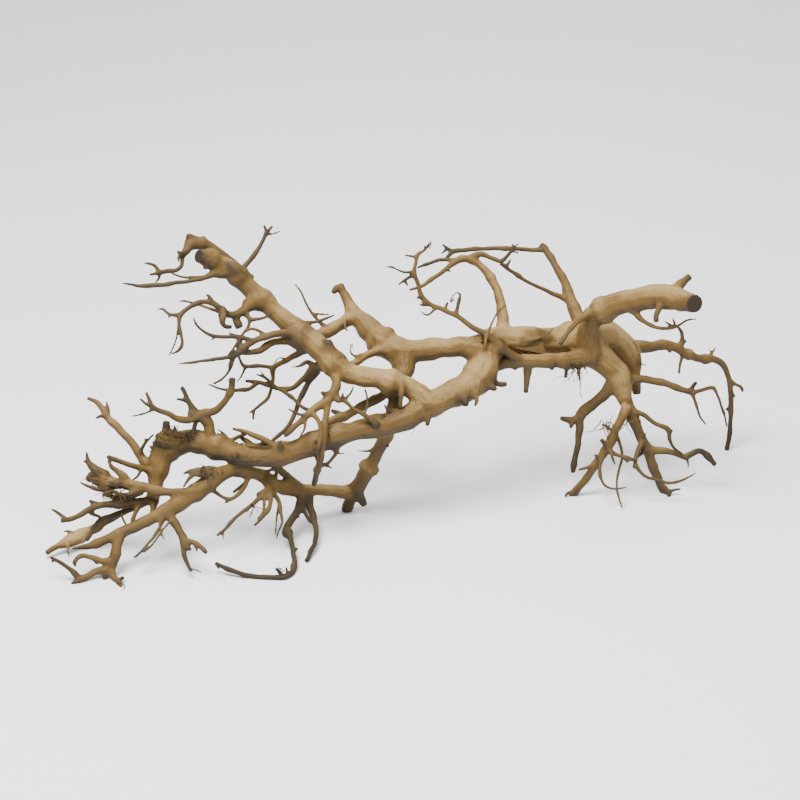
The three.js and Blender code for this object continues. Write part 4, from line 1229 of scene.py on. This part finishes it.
@dataclass
class Wood:
    """The branch's whole surface: strands fused in one skin, with filled forks, grain and worn tips."""

    voxel: float = 0.00092
    crumb: float = 2e-9
    fork_passes: int = 5
    fork_rounds: int = 34
    fork_pull: float = 0.8
    smooth_rounds: int = 2
    blend_rounds: int = 10
    tone_rounds: int = 30
    neighbours: int = 10
    grain_length: float = 0.020
    grain_width: float = 0.0011
    ridge_height: float = 0.00015
    lump_size: float = 0.011
    lump_height: float = 0.00045
    crack_height: float = 0.0006
    burl_size: float = 0.0060
    deepest: float = 0.0009
    fibre: float = 0.0017
    fibre_length: float = 0.0085
    tip_reach: float = 0.006

    def skin(self, strands: list[Strand]) -> bpy.types.Object:
        """Draws every strand as a round tube and fuses them by a voxel remesh.

        Args:
            strands: The sampled routes.

        Returns:
            The fused surface.
        """
        bpy.ops.object.select_all(action="DESELECT")
        curve = bpy.data.curves.new("skin", "CURVE")
        curve.dimensions = "3D"
        curve.bevel_depth = 1.0
        curve.bevel_resolution = 3
        curve.use_fill_caps = True
        for strand in strands:
            spline = curve.splines.new("POLY")
            spline.points.add(len(strand.centres) - 1)
            rows = np.column_stack([strand.centres, np.ones(len(strand.centres))])
            spline.points.foreach_set("co", rows.ravel())
            spline.points.foreach_set("radius", strand.radii)
        skin = bpy.data.objects.new("skin", curve)
        bpy.context.scene.collection.objects.link(skin)
        skin.select_set(True)
        bpy.context.view_layer.objects.active = skin
        bpy.ops.object.convert(target="MESH")
        self.fuse(skin)
        return skin

    def fuse(self, skin: bpy.types.Object) -> None:
        """Makes one closed surface of all that overlaps in the skin.

        Args:
            skin: The skin, which is the active object.
        """
        fuse = skin.modifiers.new("fuse", "REMESH")
        fuse.mode = "VOXEL"
        fuse.voxel_size = self.voxel
        bpy.ops.object.modifier_apply(modifier=fuse.name)

    def stand(self, skin: bpy.types.Object) -> bpy.types.Object:
        """Cuts the feet flat at the floor, fuses again and drops pockets and crumbs.

        Args:
            skin: The skin, which is the active object.

        Returns:
            The skin, with neither closed pockets inside the wood nor loose crumbs beside it.
        """
        bpy.ops.object.mode_set(mode="EDIT")
        bpy.ops.mesh.select_all(action="SELECT")
        bpy.ops.mesh.bisect(plane_co=(0, 0, 0), plane_no=(0, 0, 1), use_fill=True, clear_inner=True)
        bpy.ops.object.mode_set(mode="OBJECT")
        self.fuse(skin)
        bpy.ops.object.mode_set(mode="EDIT")
        bpy.ops.mesh.select_all(action="SELECT")
        bpy.ops.mesh.separate(type="LOOSE")
        bpy.ops.object.mode_set(mode="OBJECT")
        parts = sorted(bpy.context.selected_objects, key=lambda part: -len(part.data.vertices))
        for part in parts[1:]:
            if self.volume(part.data) < self.crumb:
                bpy.data.objects.remove(part)
        bpy.context.view_layer.objects.active = parts[0]
        bpy.ops.object.join()
        return parts[0]

    def volume(self, mesh: bpy.types.Mesh) -> float:
        """The volume that a closed mesh holds; a pocket, whose faces point into it, has less than none."""
        shape = bmesh.new()
        shape.from_mesh(mesh)
        volume = shape.calc_volume(signed=True)
        shape.free()
        return volume

    def fill_forks(self, points: np.ndarray, web: Web, normals: np.ndarray) -> np.ndarray:
        """Rounds the hollows between limbs outwards, as grown wood does.

        Args:
            points: The skin's vertices.
            web: Which of them lie next to each other.
            normals: Their normals.

        Returns:
            The vertices, moved.
        """
        for _ in range(self.fork_rounds):
            pull = web.spread(points, 1) - points
            outward = (pull * normals).sum(axis=1, keepdims=True)
            points = points + self.fork_pull * np.maximum(outward, 0.0) * normals
        return points

    def read(self, points: np.ndarray, strands: list[Strand]) -> "Reading":
        """Finds the strand that each vertex lies on, and its place along and around it.

        Args:
            points: The skin's vertices.
            strands: The sampled routes.

        Returns:
            What was found for each vertex.
        """
        centres = np.vstack([s.centres for s in strands])
        radii = np.concatenate([s.radii for s in strands])
        tangents = np.vstack([s.tangents for s in strands])
        sides = np.vstack([s.sides for s in strands])
        along = np.concatenate([s.along for s in strands])
        length = np.concatenate([np.full(len(s.along), s.along[-1]) for s in strands])
        limb = np.concatenate([np.full(len(s.along), s.limb) for s in strands])
        sawn = np.concatenate([np.full(len(s.along), s.sawn) for s in strands])
        shade = np.concatenate([np.full(len(s.along), s.shade) for s in strands])
        tree = kdtree.KDTree(len(centres))
        for i, centre in enumerate(centres):
            tree.insert(centre, i)
        tree.balance()
        nearest = np.empty(len(points), dtype=np.int64)
        for i, point in enumerate(points):
            nearest[i] = min(tree.find_n(point, self.neighbours), key=lambda hit: hit[2] - radii[hit[1]])[1]
        across = points - centres[nearest]
        run = (across * tangents[nearest]).sum(axis=1)
        other = np.cross(tangents[nearest], sides[nearest])
        turn = np.arctan2((across * other).sum(axis=1), (across * sides[nearest]).sum(axis=1))
        return Reading(
            limb=limb[nearest],
            along=along[nearest] + run,
            turn=turn,
            radius=radii[nearest],
            to_tip=np.maximum(length[nearest] - along[nearest] - run, 0.0),
            cut=sawn[nearest] & (along[nearest] + run > length[nearest] - 0.0009),
            shade=shade[nearest],
            core=centres[nearest],
        )

    def carve(
        self,
        points: np.ndarray,
        normals: np.ndarray,
        reading: "Reading",
    ) -> tuple[np.ndarray, np.ndarray]:
        """Raises ridges along the grain and lumps, and opens a few long cracks.

        Args:
            points: The skin's vertices.
            normals: Its vertex normals.
            reading: Where each vertex lies on the branch.

        Returns:
            The vertices, moved, and how deep each lies in a crack or between ridges, from 0 to 1, which the
            tone darkens as painted shade.
        """
        height = np.zeros(len(points))
        # How deep each vertex lies in a crack or between ridges; the tone darkens these hollows as painted
        # shade.
        crevice_shade = np.zeros(len(points))
        stout = np.clip((reading.radius - 0.0015) / 0.008, 0.0, 1.0)
        for i in range(len(points)):
            if reading.cut[i]:
                continue
            r = reading.radius[i]
            s = reading.along[i]
            around = (math.cos(reading.turn[i]) * r, math.sin(reading.turn[i]) * r)
            grain = (s / self.grain_length, around[0] / self.grain_width, around[1] / self.grain_width)
            ridge = noise.noise(grain)
            wide = noise.noise((s / 0.05, around[0] / 0.0042, around[1] / 0.0042 + 3))
            lump = noise.noise(Vector(points[i]) / self.lump_size)
            crack = max(0.0, 1 - abs(wide) / 0.05) * stout[i] * max(0.0, noise.noise((s / 0.04, r, 5)) * 2)
            height[i] = (0.35 + 0.65 * stout[i]) * self.ridge_height * ridge
            height[i] += (0.2 + 0.8 * stout[i]) * self.lump_height * lump - self.crack_height * crack
            crevice_shade[i] = min(1.0, max(0.0, -ridge) * 0.6 + crack)
        for patch in PATCHES:
            near = np.exp(-(np.linalg.norm(points - patch.centre(), axis=1) / (patch.reach * MM)) ** 2)
            for i in np.flatnonzero((near > 0.05) & ~reading.cut):
                r, s, turn = reading.radius[i], reading.along[i], reading.turn[i]
                fine = r / self.fibre
                fibre = (s / self.fibre_length, math.cos(turn) * fine, math.sin(turn) * fine)
                twist = noise.noise(Vector(points[i]) / self.burl_size)
                rag = 0.35 - abs(noise.noise(Vector(fibre) + Vector((0, twist, twist)))) * 2 + 0.5 * twist
                height[i] += near[i] * patch.rough * MM * rag * min(1.0, reading.radius[i] / 0.004)
                crevice_shade[i] = min(1.0, crevice_shade[i] + 0.8 * near[i] * min(patch.rough, 1.0) * max(0.0, -rag))
        return points + normals * np.maximum(height, -self.deepest)[:, None], crevice_shade

    def tone(
        self,
        points: np.ndarray,
        normals: np.ndarray,
        reading: "Reading",
        crevice_shade: np.ndarray,
        web: Web,
    ) -> np.ndarray:
        """The wood's place on its colour ramp, from pale to dark, at each vertex, with painted shade on the
        undersides and in the cracks.

        Args:
            points: The skin's vertices.
            normals: Its vertex normals.
            reading: Where each vertex lies on the branch.
            crevice_shade: How deep each lies in a crack or between ridges.
            web: Which vertices lie next to each other.

        Returns:
            A value from 0 to 1 for each vertex.
        """
        start = np.array([limb.tone.value for limb in LIMBS])[reading.limb] + reading.shade
        thin = np.clip((0.0080 - reading.radius) / 0.0065, 0.0, 1.0)
        tip = np.exp(-reading.to_tip / self.tip_reach) * np.clip(reading.radius / 0.002, 0.4, 1.0)
        even = web.spread((start + 0.22 * thin)[:, None], self.tone_rounds)[:, 0]
        # Painted shade: faces that turn down, away from the light above, get a darker colour.
        underside_shade = np.clip(0.5 - normals[:, 2] * 0.5, 0.0, 1.0)
        soft = web.spread(np.column_stack([tip, underside_shade]), 3)
        worn = np.array([noise.noise(Vector(p) / 0.035) for p in points])
        # Painted shade: the 0.42 term darkens the undersides, and the 0.26 term darkens the cracks and the
        # hollows between ridges; the other terms are the wood's own colour.
        tone = 0.04 + even + 0.24 * soft[:, 0] + 0.42 * soft[:, 1] + 0.26 * crevice_shade + 0.12 * worn
        for patch in PATCHES:
            far = np.linalg.norm(points - patch.centre(), axis=1) / (patch.reach * MM)
            tone += patch.tone * np.exp(-(far**2))
        return np.clip(np.where(reading.cut, 0.80 + 0.12 * worn, tone), 0.0, 1.0)


@dataclass
class Reading:
    """Where each vertex of the skin lies on the branch."""

    limb: np.ndarray
    along: np.ndarray
    turn: np.ndarray
    radius: np.ndarray
    to_tip: np.ndarray
    cut: np.ndarray
    shade: np.ndarray
    core: np.ndarray

    def grain(self) -> np.ndarray:
        """Coordinates that run along the limb and around it, for patterns that follow the grain."""
        r = self.radius
        return np.column_stack([self.along, np.cos(self.turn) * r, np.sin(self.turn) * r])


@dataclass(frozen=True)
class BareWood:
    """Sandblasted bare wood: a ramp from bleached tan to near black, streaked along the grain."""

    name: str = "bare_wood"
    bleached: Colour = (0.310, 0.205, 0.078, 1.0)
    tan: Colour = (0.112, 0.062, 0.0125, 1.0)
    brown: Colour = (0.036, 0.023, 0.0085, 1.0)
    dark: Colour = (0.0095, 0.0055, 0.0030, 1.0)
    streak_along: float = 70.0
    streak_across: float = 1500.0
    streak_contrast: float = 0.26
    bump_height: float = 0.00012
    roughness: tuple[float, float] = (0.55, 0.82)

    def material(self) -> bpy.types.Material:
        """Builds the wood's material.

        Returns:
            A material that reads the tone and grain attributes of a piece.
        """
        wood = bpy.data.materials.new(self.name)
        wood.use_nodes = True
        nodes, links = wood.node_tree.nodes, wood.node_tree.links
        shader = nodes["Principled BSDF"]
        shader.inputs["Specular IOR Level"].default_value = 0.28
        tone = nodes.new("ShaderNodeAttribute")
        tone.attribute_name = "tone"
        grain = nodes.new("ShaderNodeAttribute")
        grain.attribute_name = "grain"
        stretch = nodes.new("ShaderNodeMapping")
        stretch.inputs["Scale"].default_value = (self.streak_along, self.streak_across, self.streak_across)
        links.new(grain.outputs["Vector"], stretch.inputs["Vector"])
        streaks = nodes.new("ShaderNodeTexNoise")
        streaks.inputs["Scale"].default_value = 1.0
        streaks.inputs["Detail"].default_value = 4.0
        streaks.inputs["Roughness"].default_value = 0.62
        links.new(stretch.outputs["Vector"], streaks.inputs["Vector"])
        shift = nodes.new("ShaderNodeMath")
        shift.operation = "MULTIPLY_ADD"
        shift.inputs[1].default_value = self.streak_contrast
        links.new(streaks.outputs["Fac"], shift.inputs[0])
        offset = nodes.new("ShaderNodeMath")
        offset.operation = "SUBTRACT"
        offset.inputs[1].default_value = self.streak_contrast / 2
        links.new(tone.outputs["Fac"], offset.inputs[0])
        links.new(offset.outputs["Value"], shift.inputs[2])
        ramp = nodes.new("ShaderNodeValToRGB")
        stops = ((0.0, self.bleached), (0.25, self.tan), (0.55, self.brown), (1.0, self.dark))
        ramp.color_ramp.elements[0].position, ramp.color_ramp.elements[0].color = stops[0]
        ramp.color_ramp.elements[1].position, ramp.color_ramp.elements[1].color = stops[3]
        for position, colour in stops[1:3]:
            ramp.color_ramp.elements.new(position).color = colour
        links.new(shift.outputs["Value"], ramp.inputs["Fac"])
        links.new(ramp.outputs["Color"], shader.inputs["Base Color"])
        rough = nodes.new("ShaderNodeMapRange")
        rough.inputs["To Min"].default_value, rough.inputs["To Max"].default_value = self.roughness
        links.new(streaks.outputs["Fac"], rough.inputs["Value"])
        links.new(rough.outputs["Result"], shader.inputs["Roughness"])
        bump = nodes.new("ShaderNodeBump")
        bump.inputs["Strength"].default_value = 0.6
        bump.inputs["Distance"].default_value = self.bump_height
        links.new(streaks.outputs["Fac"], bump.inputs["Height"])
        links.new(bump.outputs["Normal"], shader.inputs["Normal"])
        return wood


@dataclass
class Branch:
    """The whole branch, parted at its main forks into one piece for each limb."""

    wood: Wood
    finish: bpy.types.Material
    growth: Growth
    inset: float = 0.55
    inset_step: float = 0.02
    inset_turns: int = 8

    def build(self, record_slots: dict[str, str]) -> list[bpy.types.Object]:
        """Builds the branch and stands its pieces in for the limbs' solids.

        Args:
            record_slots: The record's material slot for each node; not used.

        Returns:
            The pieces.
        """
        strands = self.growth.strands()
        skin = self.wood.skin(strands)
        mesh = skin.data
        points, edges, normals = self.arrays(mesh)
        web = Web(edges)
        for _ in range(self.wood.fork_passes):
            points = self.wood.fill_forks(points, web, normals)
            normals = self.moved(mesh, points)
        skin = self.wood.stand(skin)
        mesh = skin.data
        points, edges, normals = self.arrays(mesh)
        web = Web(edges)
        points = web.spread(points, self.wood.smooth_rounds)
        normals = self.moved(mesh, points)
        reading = self.wood.read(points, strands)
        points, crevice_shade = self.wood.carve(points, normals, reading)
        points[:, 2] = np.maximum(points[:, 2], 0.0)
        normals = self.moved(mesh, points)
        tone = self.wood.tone(points, normals, reading, crevice_shade, web)
        owner = self.owners(mesh, reading, web)
        pieces = self.part(mesh, points, normals, reading, tone, owner)
        bpy.data.objects.remove(skin)
        for piece, limb in pieces:
            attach(piece, "root")
            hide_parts(limb.name)
        return [piece for piece, _ in pieces]

    def moved(self, mesh: bpy.types.Mesh, points: np.ndarray) -> np.ndarray:
        """Moves a mesh's vertices.

        Args:
            mesh: The mesh.
            points: Its vertices' new places.

        Returns:
            The vertex normals that follow.
        """
        mesh.vertices.foreach_set("co", points.ravel())
        mesh.update()
        return self.arrays(mesh)[2]

    def owners(self, mesh: bpy.types.Mesh, reading: Reading, web: Web) -> np.ndarray:
        """The limb that each face of the skin belongs to, with even borders between limbs.

        Args:
            mesh: The skin.
            reading: Where each vertex lies on the branch.
            web: Which vertices lie next to each other.

        Returns:
            The index of a limb for each face.
        """
        best = np.zeros(len(mesh.vertices))
        label = reading.limb.copy()
        for i in range(len(LIMBS)):
            own = (reading.limb == i).astype(float)[:, None]
            share = web.spread(own, self.wood.blend_rounds)[:, 0]
            label[share > best] = i
            best = np.maximum(best, share)
        return label[self.corners(mesh)].max(axis=1)

    def corners(self, mesh: bpy.types.Mesh) -> np.ndarray:
        """The four vertices of each face of the skin."""
        corners = np.empty(len(mesh.loops), dtype=np.int64)
        mesh.loops.foreach_get("vertex_index", corners)
        return corners.reshape(-1, 4)

    def arrays(self, mesh: bpy.types.Mesh) -> tuple[np.ndarray, np.ndarray, np.ndarray]:
        """A mesh's vertices, edges and vertex normals as arrays.

        Args:
            mesh: The mesh to read.

        Returns:
            The vertices, the edges' vertex pairs and the vertex normals.
        """
        points = np.empty(len(mesh.vertices) * 3)
        mesh.vertices.foreach_get("co", points)
        edges = np.empty(len(mesh.edges) * 2, dtype=np.int64)
        mesh.edges.foreach_get("vertices", edges)
        normals = np.empty(len(mesh.vertices) * 3)
        mesh.vertex_normals.foreach_get("vector", normals)
        return points.reshape(-1, 3), edges.reshape(-1, 2), normals.reshape(-1, 3)

    def part(
        self,
        mesh: bpy.types.Mesh,
        points: np.ndarray,
        normals: np.ndarray,
        reading: Reading,
        tone: np.ndarray,
        owner: np.ndarray,
    ) -> list[tuple[bpy.types.Object, Limb]]:
        """Parts the skin into one closed piece for each limb.

        Args:
            mesh: The skin.
            points: Its vertices.
            normals: Its vertex normals.
            reading: Where each vertex lies on the branch.
            tone: The wood's tone at each vertex.
            owner: The limb of each face.

        Returns:
            Each piece with its limb.
        """
        corners = self.corners(mesh)
        grain = reading.grain()
        pieces = []
        for i, limb in enumerate(LIMBS):
            used, index = np.unique(corners[owner == i], return_inverse=True)
            faces = index.reshape(-1, 4)
            caps, inner, ends = self.caps(faces, points[used], reading.core[used], tone[used])
            own = bpy.data.meshes.new(limb.name + "_wood")
            own.from_pydata(np.vstack([points[used], inner]), [], faces.tolist() + caps)
            shade = own.attributes.new("tone", "FLOAT", "POINT")
            shade.data.foreach_set("value", np.append(tone[used], ends).astype(np.float32))
            lie = own.attributes.new("grain", "FLOAT_VECTOR", "POINT")
            lie.data.foreach_set("vector", np.vstack([grain[used], inner]).astype(np.float32).ravel())
            own.materials.append(self.finish)
            own.polygons.foreach_set("use_smooth", np.arange(len(own.polygons)) < len(faces))
            flat = np.zeros((len(own.loops) - faces.size, 3))
            own.normals_split_custom_set(np.vstack([normals[used][faces.ravel()], flat]))
            piece = bpy.data.objects.new(limb.name + "_wood", own)
            bpy.context.scene.collection.objects.link(piece)
            pieces.append((piece, limb))
            LOG.info("%s: %d faces", piece.name, len(own.polygons))
        return pieces

    def caps(
        self,
        faces: np.ndarray,
        points: np.ndarray,
        cores: np.ndarray,
        tone: np.ndarray,
    ) -> tuple[list[tuple[int, int, int]], np.ndarray, list[float]]:
        """Closes each cut at a fork inside the wood, by a wall toward the middle lines and a cone.

        Args:
            faces: A piece's faces.
            points: Its vertices.
            cores: For each of them, the nearest point of its limb's middle line.
            tone: The wood's tone at each of them.

        Returns:
            The triangles that close the cuts, their inner points, which follow the piece's own vertices,
            and the tone there.
        """
        starts, ends = faces.ravel(), np.roll(faces, -1, axis=1).ravel()
        size = len(points)
        lone = ~np.isin(starts * size + ends, ends * size + starts)
        following: dict[int, list[int]] = {}
        for a, b in zip(starts[lone].tolist(), ends[lone].tolist()):
            following.setdefault(a, []).append(b)
        caps, inner, tones = [], [], []
        cuts = 0
        rim: list[int] = []
        while following or rim:
            if not rim:
                rim.append(next(iter(following)))
            ahead = following[rim[-1]]
            step = ahead.pop()
            if not ahead:
                del following[rim[-1]]
            if step not in rim:
                rim.append(step)
                continue
            turn = rim.index(step)
            loop = rim[turn:]
            rim = rim[: turn + 1] if turn else []
            share = self.inset - self.inset_step * (cuts % self.inset_turns)
            cuts += 1
            first = size + len(inner)
            hub = first + len(loop)
            for k, a in enumerate(loop):
                after = (k + 1) % len(loop)
                b = loop[after]
                caps += [(b, a, first + k), (b, first + k, first + after), (first + after, first + k, hub)]
            inner += list(points[loop] + (cores[loop] - points[loop]) * share)
            inner.append(cores[loop].mean(axis=0))
            tones += [tone[loop].mean()] * (len(loop) + 1)
        return caps, np.array(inner).reshape(-1, 3), tones


@dataclass(frozen=True)
class Tuft:
    """A tuft of root hairs: where it grows on the drawing, and its hairs' number, length and lean.

    The lean is a direction on the drawing, across and down; lengths are in millimetres.
    """

    across: float
    down: float
    spread: float
    count: int
    length: float
    lean: tuple[float, float]
    curl: float
    tone: float


TUFTS: tuple[Tuft, ...] = (
    # Tuft under the front bar.
    Tuft(577, 365, 7, 13, 32, (0.1, 1.0), 1.5, 0.60),
    # Hairs between the two right legs.
    Tuft(607, 425, 7, 10, 26, (0.1, 0.6), 1.7, 0.55),
    Tuft(628, 420, 7, 10, 26, (0.3, 0.9), 1.7, 0.50),
    # Curl under the trunk and curl in the loop on the left.
    Tuft(426, 420, 2, 1, 30, (-0.7, 0.8), 0.9, 0.65),
    Tuft(352, 346, 2, 2, 16, (0.2, 1.0), 1.4, 0.55),
    # Bristles on the burls.
    Tuft(170, 436, 11, 26, 11, (0.0, -0.5), 1.6, 0.32),
    Tuft(184, 437, 9, 18, 11, (0.2, -0.4), 1.6, 0.32),
    Tuft(100, 482, 11, 18, 13, (-0.9, 0.1), 1.6, 0.42),
    Tuft(116, 494, 14, 22, 15, (-0.7, 0.4), 1.8, 0.42),
    Tuft(208, 472, 12, 18, 11, (-0.2, -0.8), 1.6, 0.42),
    # Loops at the left foot and the elbow's crust.
    Tuft(120, 584, 3, 4, 16, (0.2, 0.5), 2.2, 0.55),
    Tuft(252, 506, 3, 6, 17, (0.1, 0.9), 2.0, 0.40),
    Tuft(280, 569, 5, 9, 6, (0.0, -0.8), 1.2, 0.92),
    # Frayed ends on the middle tangle.
    Tuft(232, 381, 3, 5, 9, (-0.2, -0.9), 1.4, 0.45),
    Tuft(428, 246, 3, 4, 9, (0.2, -0.9), 1.4, 0.50),
    Tuft(452, 300, 3, 4, 9, (0.3, -0.9), 1.4, 0.45),
)


@dataclass
class RootHairs:
    """All the fine hairs, bristles and curls, in one piece."""

    finish: bpy.types.Material
    thickness: float = 0.0011
    step: float = 0.0012
    stray: float = 0.25
    droop: float = 0.05
    rng: random.Random = field(default_factory=lambda: random.Random(SEED + 1))

    def build(self) -> bpy.types.Object:
        """Grows the hairs and joins them.

        Returns:
            The piece.
        """
        bpy.ops.object.select_all(action="DESELECT")
        curve = bpy.data.curves.new("root_hairs", "CURVE")
        curve.dimensions = "3D"
        curve.bevel_depth = self.thickness / 2
        curve.bevel_resolution = 1
        curve.use_fill_caps = True
        tones: list[float] = []
        for tuft in TUFTS:
            for _ in range(tuft.count):
                self.hair(curve, tuft, tones)
        piece = bpy.data.objects.new("root_hairs", curve)
        bpy.context.scene.collection.objects.link(piece)
        piece.select_set(True)
        bpy.context.view_layer.objects.active = piece
        bpy.ops.object.convert(target="MESH")
        self.dress(piece, tones)
        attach(piece, "root")
        return piece

    def hair(self, curve: bpy.types.Curve, tuft: Tuft, tones: list[float]) -> None:
        """Grows one hair of a tuft.

        Args:
            curve: The curve that takes the hair.
            tuft: The tuft it belongs to.
            tones: Takes the tuft's tone once for each point of the hair.
        """
        ease = self.rng.gauss(0, tuft.spread / 2)
        fall = self.rng.gauss(0, tuft.spread / 4)
        root = DRAWING.place(on_branch(tuft.across + ease, tuft.down + fall))
        lean = Vector((tuft.lean[0], self.rng.gauss(-0.2, 0.5), -tuft.lean[1]))
        heading = (lean + Vector([self.rng.gauss(0, self.stray) for _ in range(3)])).normalized()
        seed = self.rng.uniform(0, 90)
        count = max(5, round(tuft.length * MM * self.rng.uniform(0.6, 1.1) / self.step))
        spline = curve.splines.new("POLY")
        spline.points.add(count - 1)
        place = root - heading * self.step * 2
        for i, point in enumerate(spline.points):
            point.co = (place.x, place.y, max(place.z, self.thickness), 1.0)
            point.radius = 1.0 - 0.5 * i / count
            turn = noise.noise_vector((i * 0.16, seed, tuft.across))
            heading = (heading + turn * tuft.curl * 0.35 - Vector((0, 0, self.droop))).normalized()
            place = place + heading * self.step
            tones.append(tuft.tone)

    def dress(self, piece: bpy.types.Object, tones: list[float]) -> None:
        """Gives the hairs the wood's finish, with the attributes that it reads.

        Args:
            piece: The hairs' mesh.
            tones: The tone at each point of the hairs.
        """
        mesh = piece.data
        size = len(mesh.vertices)
        around = size // len(tones)
        shade = mesh.attributes.new("tone", "FLOAT", "POINT")
        shade.data.foreach_set("value", np.resize(np.repeat(tones, around), size).astype(np.float32))
        places = np.empty(size * 3, dtype=np.float32)
        mesh.vertices.foreach_get("co", places)
        lie = mesh.attributes.new("grain", "FLOAT_VECTOR", "POINT")
        lie.data.foreach_set("vector", places)
        mesh.materials.clear()
        mesh.materials.append(self.finish)
        bpy.ops.object.shade_smooth()


@dataclass
class Studio:
    """A pale floor, soft light from above and both sides, and the camera at the drawing's angle."""

    floor_side: float = 12.0
    sensor: float = 36.0
    floor_colour: Colour = (0.92, 0.92, 0.92, 1.0)
    lens_side: float = DRAWING.side * MM

    def build(self) -> None:
        """Sets up the floor, the lights, the world and the camera."""
        self.floor()
        self.lights()
        self.camera()

    def floor(self) -> None:
        """Lays the floor."""
        bpy.ops.object.select_all(action="DESELECT")
        bpy.ops.mesh.primitive_plane_add(size=self.floor_side, location=(0, 0, 0))
        floor = bpy.context.object
        floor.name = "floor"
        paint = bpy.data.materials.new("floor_paint")
        paint.use_nodes = True
        shader = paint.node_tree.nodes["Principled BSDF"]
        shader.inputs["Base Color"].default_value = self.floor_colour
        shader.inputs["Roughness"].default_value = 0.9
        floor.data.materials.append(paint)

    def lights(self) -> None:
        """Hangs the soft lights."""
        for name, place, aim, size, power in (
            ("key", (-0.5, -0.7, 1.9), (0, 0, 0.1), 1.0, 104.0),
            ("fill", (1.3, -0.9, 1.1), (0, 0, 0.1), 1.6, 12.0),
            ("back", (0.3, 1.5, 1.5), (0, 0, 0.1), 1.6, 20.0),
        ):
            lamp = bpy.data.lights.new(name, "AREA")
            lamp.size = size
            lamp.energy = power
            light = bpy.data.objects.new(name, lamp)
            light.location = place
            light.rotation_euler = (Vector(aim) - Vector(place)).to_track_quat("-Z", "Y").to_euler()
            bpy.context.scene.collection.objects.link(light)
        world = bpy.data.worlds.new("studio")
        world.use_nodes = True
        world.node_tree.nodes["Background"].inputs["Color"].default_value = (1, 1, 1, 1)
        world.node_tree.nodes["Background"].inputs["Strength"].default_value = 0.6
        bpy.context.scene.world = world

    def camera(self) -> None:
        """Puts the camera at the viewer's eye, with the drawing filling its frame."""
        lens = bpy.data.cameras.new("camera")
        lens.sensor_width = self.sensor
        distance = DRAWING.view_distance * MM
        lens.lens = self.sensor * distance / self.lens_side
        middle = DRAWING.place((DRAWING.side / 2, DRAWING.side / 2, 0.0, 0.0))
        eye = Vector((0, -math.cos(DRAWING.look_down), math.sin(DRAWING.look_down))) * distance
        camera = bpy.data.objects.new("camera", lens)
        camera.location = middle + eye
        camera.rotation_euler = (math.pi / 2 - DRAWING.look_down, 0, 0)
        bpy.context.scene.collection.objects.link(camera)
        bpy.context.scene.camera = camera


def main() -> None:
    """Builds the branch around the frame and sets up the studio."""
    logging.basicConfig(level=logging.INFO, format="%(message)s")
    noise.seed_set(SEED)
    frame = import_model()
    slots = {row["node"]: row["material_slot"] for row in frame["record"]["subparts"]}
    Studio().build()
    finish = BareWood().material()
    pieces = Branch(Wood(), finish, Growth()).build(slots)
    pieces.append(RootHairs(finish).build())
    LOG.info("%d pieces", len(pieces))


if __name__ == "__main__":
    main()
